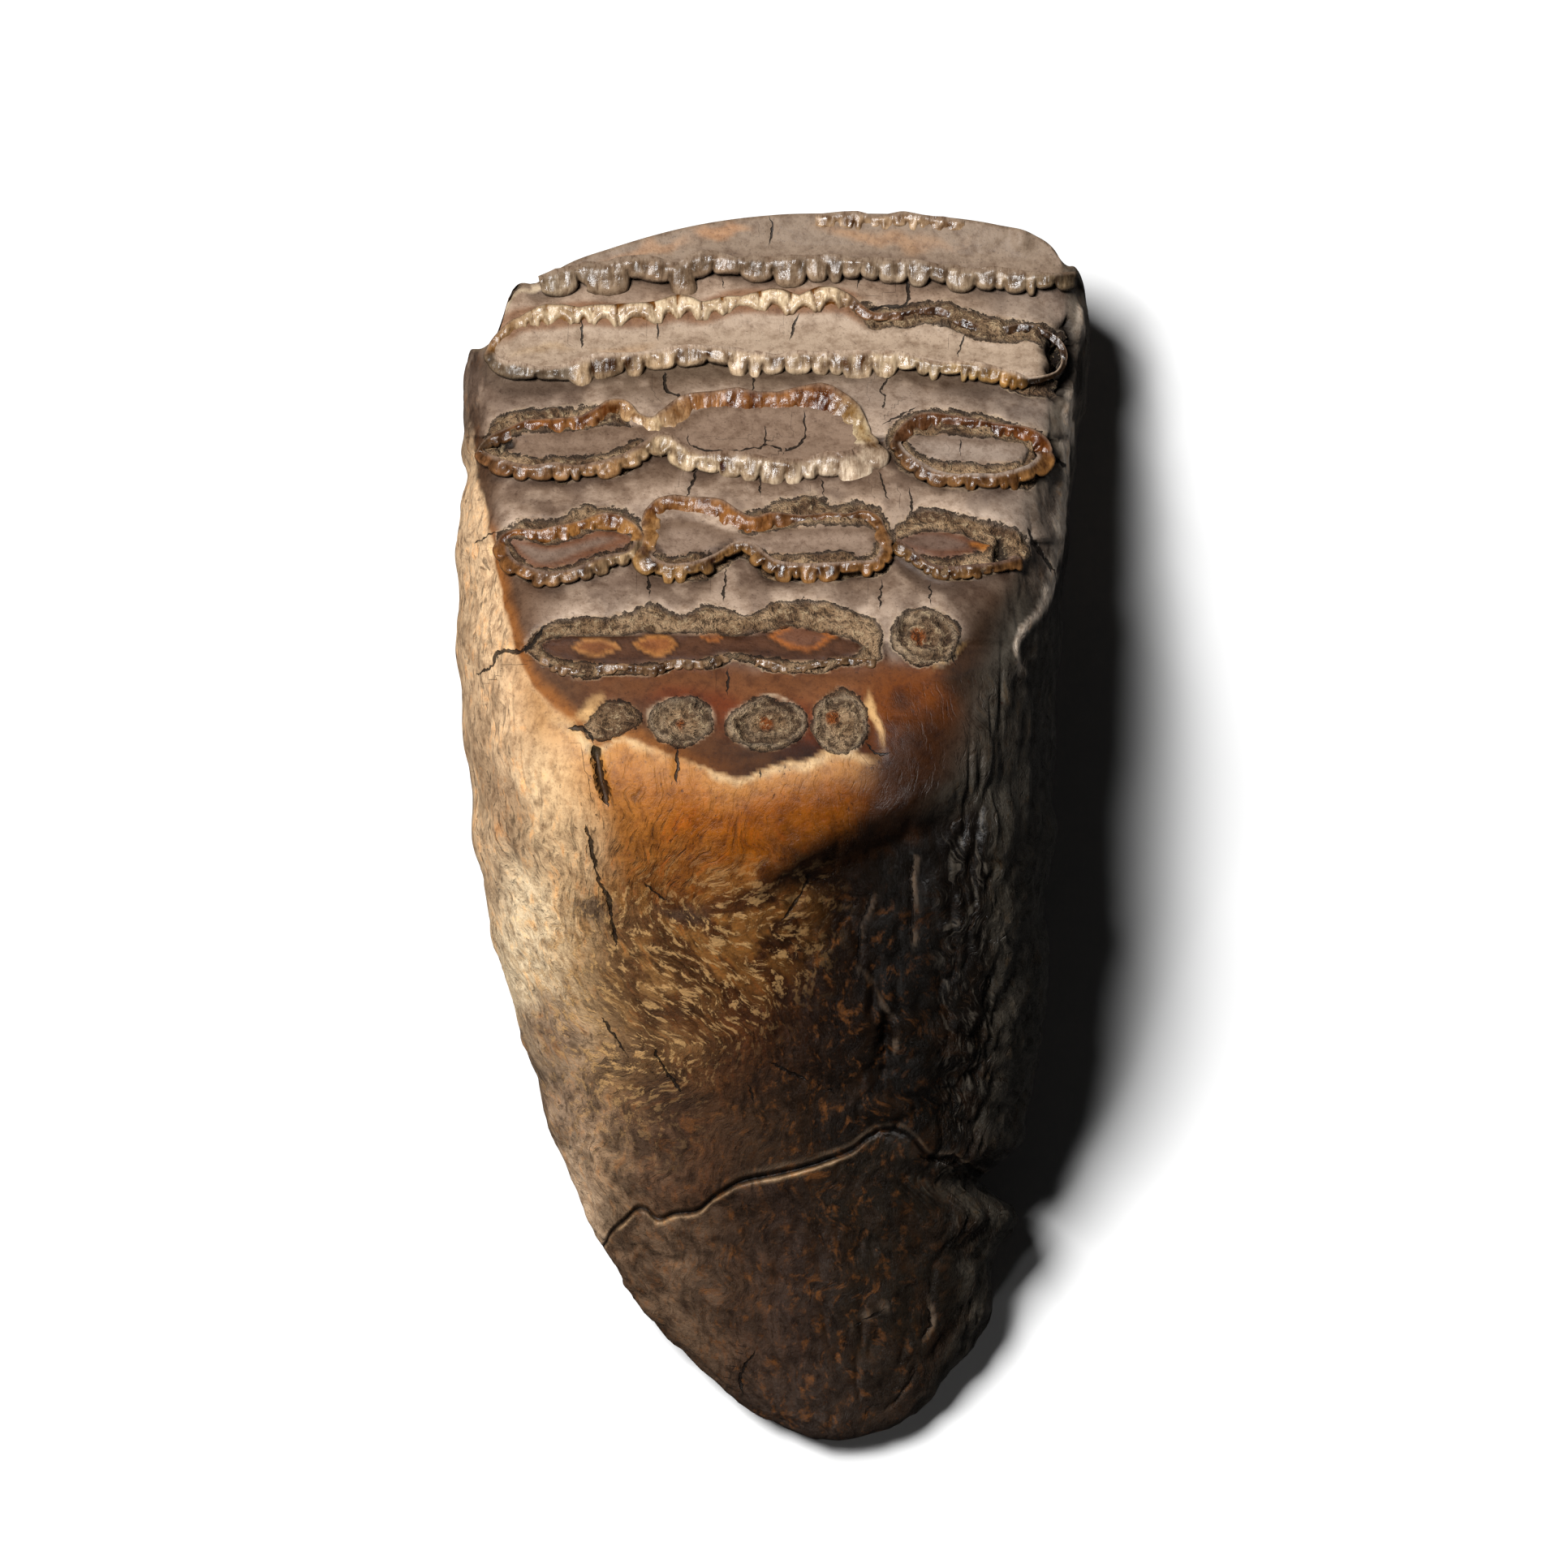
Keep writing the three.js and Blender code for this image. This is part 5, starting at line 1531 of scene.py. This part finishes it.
points, colours, faces, start = [], [], [], 0
for plate in PLATES:
    if plate["name"] not in ENAMEL:
        continue
    band = band_along(plate)
    band_points = ribbon_points(band)
    n_along, n_across = band_points.shape[:2]
    faces += [[start + v for v in face] for face in ribbon_faces(n_along, n_across, band.closed)]
    points.append(band_points.reshape(-1, 3))
    colours.append(ribbon_colours(plate, band, band_points).reshape(-1, 3))
    start += n_along * n_across
enamel = make_piece("molar_enamel", np.vstack(points), faces, {"tone": dimmed(np.vstack(colours))})
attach(enamel, "root")
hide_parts("molar")
print("enamel:", len(faces), "faces")

# %% [markdown]
# ## Finishes
#
# A fossil tooth is mineralised: hard, and waxy or glossy where handling and the ground have polished it.
# Two finishes cover it. The first reads the painted stains and adds what is finer than the grid: pores,
# fibres, flecks, crumbs and cracks. The second is enamel, which is glassier and has fine striations. Each
# finish is a stack: layers of colour laid over each other, and layers of height added up for one bump node.
# An image could hold all this too, but procedural patterns stay sharp at any distance and need no
# unwrapping.

# %% Helpers for materials


def new_material(name):
    """An empty material with its Principled shader and output joined up."""
    material = bpy.data.materials.new(name)
    material.use_nodes = True
    tree = material.node_tree
    tree.nodes.clear()
    shader = tree.nodes.new("ShaderNodeBsdfPrincipled")
    output = tree.nodes.new("ShaderNodeOutputMaterial")
    tree.links.new(shader.outputs[0], output.inputs["Surface"])
    return material, tree, shader


def node(tree, kind, inputs, output=0, **settings):
    """Adds a node, sets its settings, fills or links its inputs by name or number, and gives an output."""
    made = tree.nodes.new("ShaderNode" + kind)
    for key, value in settings.items():
        setattr(made, key, value)
    for key, value in inputs.items():
        if isinstance(value, bpy.types.NodeSocket):
            tree.links.new(value, made.inputs[key])
        else:
            made.inputs[key].default_value = value
    return made.outputs[output]


def rgba(hex_colour, gain=1.0):
    """A hex colour as linear RGBA for a socket."""
    return (*(linear(hex_colour) * gain), 1)


COLOUR_MIX = dict(data_type="RGBA")
FACTOR, UNDER, OVER = 0, 6, 7  # the Mix node's inputs when it mixes colours
print("material helpers ready")

# %% Stained cement and dentine: patterns
# Cement and dentine, turned to stone and polished by handling: soft waxy highlights, and dark pores and
# fibres.
material, tree, shader = new_material("stained_cement_and_dentine")
where = node(tree, "TexCoord", {}, "Object")
place = node(tree, "VectorMath", {0: where, "Scale": 1 / MM}, operation="SCALE")
read = {key: node(tree, "Attribute", {}, "Fac", attribute_name=key) for key in body_fields}
painted = node(tree, "Attribute", {}, "Color", attribute_name="tone")
flow_place = node(tree, "Attribute", {}, "Vector", attribute_name="flow")

# pattern: where it is measured, size in mm, how much longer it is along x, y and z, detail, roughness
EVEN = (1, 1, 1)
PATTERNS = dict(
    mottle=(place, 1.6, EVEN, 7, 0.72),
    pore=(place, 0.35, EVEN, 3, 0.6),
    leather=(place, 0.9, EVEN, 4, 0.6),
    strands=(flow_place, 0.5, (1, 8, 4), 3, 0.6),
    strokes=(flow_place, 0.95, (1, 1.7, 1.7), 6, 0.7),
    rust=(flow_place, 1.3, (1, 1.8, 1.5), 6, 0.7),
    crumbs=(place, 0.85, EVEN, 4, 0.68),
    wobble=(place, 1.1, EVEN, 2, 0.5),
    breaks=(place, 1.7, EVEN, 2, 0.6),
    stain=(flow_place, 1.1, (1, 3.5, 3), 6, 0.7),
)
pattern = {}
for name, (vector, size, stretch, detail, rough) in PATTERNS.items():
    scaled = node(tree, "Mapping", {"Vector": vector, "Scale": [1 / s for s in stretch]})
    settings = {"Vector": scaled, "Scale": 1 / size, "Detail": detail, "Roughness": rough}
    pattern[name] = node(tree, "TexNoise", settings)
print(len(pattern), "patterns")

# %% Stained cement and dentine: masks
# mask: pattern, its value where the mask is 0 and where it is full, how strong it is, and the painted field
MASKS = dict(
    mottle=("mottle", 0.56, 0.34, 0.65, None),
    pore=("pore", 0.42, 0.3, 0.4, None),
    strands=("strands", 0.44, 0.33, 0.6, "fibre"),
    strokes=("strokes", 0.53, 0.58, 0.8, "fleck"),
    specks=("strokes", 0.38, 0.33, 0.8, "specks"),
    # streaks: pale grey fibres on the grooved right flank, partly their colour and partly painted highlights
    streaks=("strands", 0.55, 0.68, 0.45, "weathered"),
    rust=("rust", 0.54, 0.7, 0.75, "rust"),
    holes=("crumbs", 0.47, 0.39, 0.75, None),
    crumbs=("crumbs", 0.54, 0.64, 0.7, None),
    stain=("stain", 0.5, 0.32, 0.6, "stain"),
    pale=("stain", 0.54, 0.68, 0.5, "stain"),
)
mask = {}
for name, (source, none, full, strength, field) in MASKS.items():
    ends = {"Value": pattern[source], "From Min": none, "From Max": full, "To Max": strength}
    mask[name] = node(tree, "MapRange", ends)
    if field:
        mask[name] = node(tree, "Math", {0: mask[name], 1: read[field]}, operation="MULTIPLY")
print(len(mask), "masks")

# %% Stained cement and dentine: the edge of the grit
# The border of the crumbled areas is ragged at half a millimetre: a pale rim stands outside it, and inside
# it is painted shade under the rim. The painted distance to the border plus the crumbs' noise, which is
# about 0.5, gives the edge.
RAGGED = 1.4  # mm
bitten = {0: pattern["crumbs"], 1: RAGGED, 2: read["from_grit"]}
ragged = node(tree, "Math", bitten, operation="MULTIPLY_ADD")
ragged = node(tree, "Math", {0: ragged, 1: RAGGED / 2}, operation="SUBTRACT")
mask["gritty"] = node(tree, "MapRange", {"Value": ragged, "From Min": 0.07, "From Max": -0.07})
smooth_side = node(tree, "Math", {0: 1.0, 1: mask["gritty"]}, operation="SUBTRACT")
pale_rim = node(tree, "MapRange", {"Value": ragged, "From Min": 0.4, "From Max": 0.1, "To Max": 0.35})
pale_rim = node(tree, "Math", {0: pale_rim, 1: smooth_side}, operation="MULTIPLY")
mask["rim"] = node(tree, "Math", {0: pale_rim, 1: read["beside_grit"]}, operation="MULTIPLY")
shade = node(tree, "MapRange", {"Value": ragged, "From Min": -0.45, "From Max": -0.05, "To Max": 0.6})
mask["shade"] = node(tree, "Math", {0: shade, 1: mask["gritty"]}, operation="MULTIPLY")
for name in ("holes", "crumbs"):
    mask[name] = node(tree, "Math", {0: mask[name], 1: mask["gritty"]}, operation="MULTIPLY")
print("grit edge drawn")

# %% Stained cement and dentine: cracks
# The line wobbles at 1 mm, and its width swells and closes along its length. It is drawn where the distance
# to the crack is less than its opening.
shifted = node(tree, "Math", {0: pattern["wobble"], 1: 0.9, 2: -0.45}, operation="MULTIPLY_ADD")
shifted = node(tree, "Math", {0: read["crack_offset"], 1: shifted}, operation="ADD")
from_crack = node(tree, "Math", {0: shifted}, operation="ABSOLUTE")
closing = {"Value": pattern["breaks"], "From Min": 0.2, "From Max": 0.6, "To Min": 0.01}
opening = node(tree, "MapRange", closing)
opening = node(tree, "Math", {0: opening, 1: read["crack_width"]}, operation="MULTIPLY")
opening = node(tree, "Math", {0: opening, 1: 0.001}, operation="MAXIMUM")
ratio = node(tree, "Math", {0: from_crack, 1: opening}, operation="DIVIDE")
cracked = node(tree, "MapRange", {"Value": ratio, "From Min": 1.4, "From Max": 0.7, "To Max": 0.9})
has_crack = node(tree, "MapRange", {"Value": read["crack_width"], "From Min": 0.01, "From Max": 0.03})
mask["crack"] = node(tree, "Math", {0: cracked, 1: has_crack}, operation="MULTIPLY")
print("crack lines drawn")

# %% Stained cement and dentine: colour and gloss
# layers of colour over the paint: mask, colour, and how it is mixed in. A colour that covers what is under
# it is dimmed for the lamp as the paint is.
COLOUR_LAYERS = [
    ("mottle", "#a08c7a", "MULTIPLY"),
    ("stain", "#6e5138", "MULTIPLY"),
    ("pale", "#f0c890", "OVERLAY"),
    ("pore", "#4a3626", "MULTIPLY"),
    ("strands", "#3a2a1c", "MIX"),
    ("strokes", "#eeba78", "MIX"),
    ("specks", "#33190a", "MIX"),
    ("streaks", "#756b5e", "MIX"),
    ("rust", "#8a5426", "MIX"),
    ("rim", "#d8bd9c", "MIX"),
    ("crumbs", "#e6c79c", "MIX"),
    ("holes", "#3c2816", "MIX"),
    ("shade", "#2a1d13", "MIX"),
    ("crack", "#17100b", "MIX"),
]
colour = painted
for name, hex_colour, blend in COLOUR_LAYERS:
    over = rgba(hex_colour, LAMP_GAIN if blend == "MIX" else 1)
    inputs = {FACTOR: mask[name], UNDER: colour, OVER: over}
    colour = node(tree, "Mix", inputs, 2, blend_type=blend, **COLOUR_MIX)
tree.links.new(colour, shader.inputs["Base Color"])

UNEVEN_GLOSS = 0.25
speckled = {0: pattern["pore"], 1: UNEVEN_GLOSS, 2: read["roughness"]}
gloss = node(tree, "Math", speckled, operation="MULTIPLY_ADD")
gloss = node(tree, "Math", {0: gloss, 1: UNEVEN_GLOSS / 2}, operation="SUBTRACT", use_clamp=True)
tree.links.new(gloss, shader.inputs["Roughness"])
shader.inputs["IOR"].default_value = 1.5
shader.inputs["Specular IOR Level"].default_value = 0.15
print(len(COLOUR_LAYERS), "layers of colour over the paint")

# %% Stained cement and dentine: bump
crumb_height = node(tree, "Math", {0: pattern["crumbs"], 1: mask["gritty"]}, operation="MULTIPLY")
leather_height = node(tree, "Math", {0: pattern["leather"], 1: read["stain"]}, operation="MULTIPLY")
# layers of height, and how far each one rises in mm
HEIGHT_LAYERS = [
    (pattern["pore"], 0.03), (pattern["leather"], 0.03), (leather_height, 0.12), (crumb_height, 2.0),
    (mask["gritty"], -0.4), (mask["strands"], -0.18), (mask["strokes"], 0.06), (mask["stain"], -0.12),
    (mask["crack"], -0.4),
]
height = node(tree, "Math", {0: pattern["mottle"], 1: 0.14}, operation="MULTIPLY")
for layer, rise in HEIGHT_LAYERS:
    height = node(tree, "Math", {0: layer, 1: rise, 2: height}, operation="MULTIPLY_ADD")
bump = node(tree, "Bump", {"Strength": 1.0, "Distance": MM, "Height": height})
tree.links.new(bump, shader.inputs["Normal"])
molar.data.materials.append(material)
print(material.name, "has", len(tree.nodes), "nodes")

# %% Enamel
# Worn enamel: glassy, with fine striations across the band, so each tab catches a hard highlight.
material, tree, shader = new_material("worn_enamel")
where = node(tree, "TexCoord", {}, "Object")
place = node(tree, "VectorMath", {0: where, "Scale": 1 / MM}, operation="SCALE")
painted = node(tree, "Attribute", {}, "Color", attribute_name="tone")
CLOUD_SIZE, STRIA_WIDTH = 1.2, 0.28  # mm
cloud = node(tree, "TexNoise", {"Vector": place, "Scale": 1 / CLOUD_SIZE, "Detail": 5, "Roughness": 0.65})
striped = node(tree, "Mapping", {"Vector": place, "Scale": [1, 1 / 5, 1 / 2]})
fine = {"Vector": striped, "Scale": 1 / STRIA_WIDTH, "Detail": 3, "Roughness": 0.6}
striae = node(tree, "TexNoise", fine)
cloudy = node(tree, "MapRange", {"Value": cloud, "From Min": 0.55, "From Max": 0.35, "To Max": 0.5})
lined = node(tree, "MapRange", {"Value": striae, "From Min": 0.5, "From Max": 0.34, "To Max": 0.5})
colour = painted
for factor, hex_colour in [(cloudy, "#8a6644"), (lined, "#80603f")]:
    inputs = {FACTOR: factor, UNDER: colour, OVER: rgba(hex_colour)}
    colour = node(tree, "Mix", inputs, 2, blend_type="MULTIPLY", **COLOUR_MIX)
tree.links.new(colour, shader.inputs["Base Color"])
polish = {"Value": cloud, "From Min": 0.3, "From Max": 0.7, "To Min": 0.12, "To Max": 0.42}
gloss = node(tree, "MapRange", polish)
tree.links.new(gloss, shader.inputs["Roughness"])
shader.inputs["IOR"].default_value = 1.5
shader.inputs["Specular IOR Level"].default_value = 0.22
height = node(tree, "Math", {0: cloud, 1: 0.12}, operation="MULTIPLY")
height = node(tree, "Math", {0: striae, 1: 0.06, 2: height}, operation="MULTIPLY_ADD")
bump = node(tree, "Bump", {"Strength": 1.0, "Distance": MM, "Height": height})
tree.links.new(bump, shader.inputs["Normal"])
enamel.data.materials.append(material)
print(material.name, "has", len(tree.nodes), "nodes")

# %% [markdown]
# ## Floor, light and camera
#
# The tooth lies on a white table under one large soft lamp at the upper left. Almost nothing fills the
# shadow, which is what makes the relief read. A faint narrow lamp from the heel end puts sparkles on the
# edges of the enamel. The camera looks straight down through a long lens.

# %% Floor
FLOOR_SIZE = 3000  # mm
corners = np.array([[-1, -1, 0], [1, -1, 0], [1, 1, 0], [-1, 1, 0]]) * FLOOR_SIZE / 2
floor = make_piece("floor", corners, [[0, 1, 2, 3]], {})
material, tree, shader = new_material("white_paper_table")
shader.inputs["Base Color"].default_value = rgba("#aaaaaa")
shader.inputs["Roughness"].default_value = 0.9
shader.inputs["Specular IOR Level"].default_value = 0.1
floor.data.materials.append(material)
floor.visible_glossy = False
print("floor", FLOOR_SIZE, "mm")

# %% Lights
TARGET = mathutils.Vector((0, 0, 0.04))  # in metres


def lamp(name, azimuth, elevation, distance, width, depth, watts):
    """A rectangular lamp in a direction in degrees, at a distance in mm from the tooth, and facing it."""
    a, e = math.radians(azimuth), math.radians(elevation)
    toward = mathutils.Vector((math.cos(e) * math.cos(a), math.cos(e) * math.sin(a), math.sin(e)))
    light = bpy.data.lights.new(name, "AREA")
    light.shape = "RECTANGLE"
    light.size, light.size_y = width * MM, depth * MM
    light.energy = watts
    made = bpy.data.objects.new(name, light)
    bpy.context.collection.objects.link(made)
    made.location = TARGET + toward * distance * MM
    made.rotation_euler = (-toward).to_track_quat("-Z", "Y").to_euler()


lamp("key", azimuth=138, elevation=63.5, distance=2500, width=680, depth=680, watts=200)
lamp("sparkle", azimuth=-120, elevation=16, distance=1200, width=60, depth=25, watts=2.6)
world = bpy.data.worlds.new("studio")
bpy.context.scene.world = world
world.use_nodes = True
world.node_tree.nodes["Background"].inputs["Color"].default_value = (1, 1, 1, 1)
world.node_tree.nodes["Background"].inputs["Strength"].default_value = 0.02

# %% Camera
VIEW_CENTRE, VIEW_WIDTH, FOCUS_HEIGHT = (1.6, 3.4), 193.2, 40  # mm
camera_data = bpy.data.cameras.new("camera")
camera_data.lens = 400
camera_data.sensor_width = 36
camera = bpy.data.objects.new("camera", camera_data)
bpy.context.collection.objects.link(camera)
camera_height = FOCUS_HEIGHT + VIEW_WIDTH * camera_data.lens / camera_data.sensor_width
camera.location = (VIEW_CENTRE[0] * MM, VIEW_CENTRE[1] * MM, camera_height * MM)
camera_data.clip_end = 20
bpy.context.scene.camera = camera
bpy.context.scene.view_settings.view_transform = "Standard"
print("camera", round(camera_height), "mm above the table")
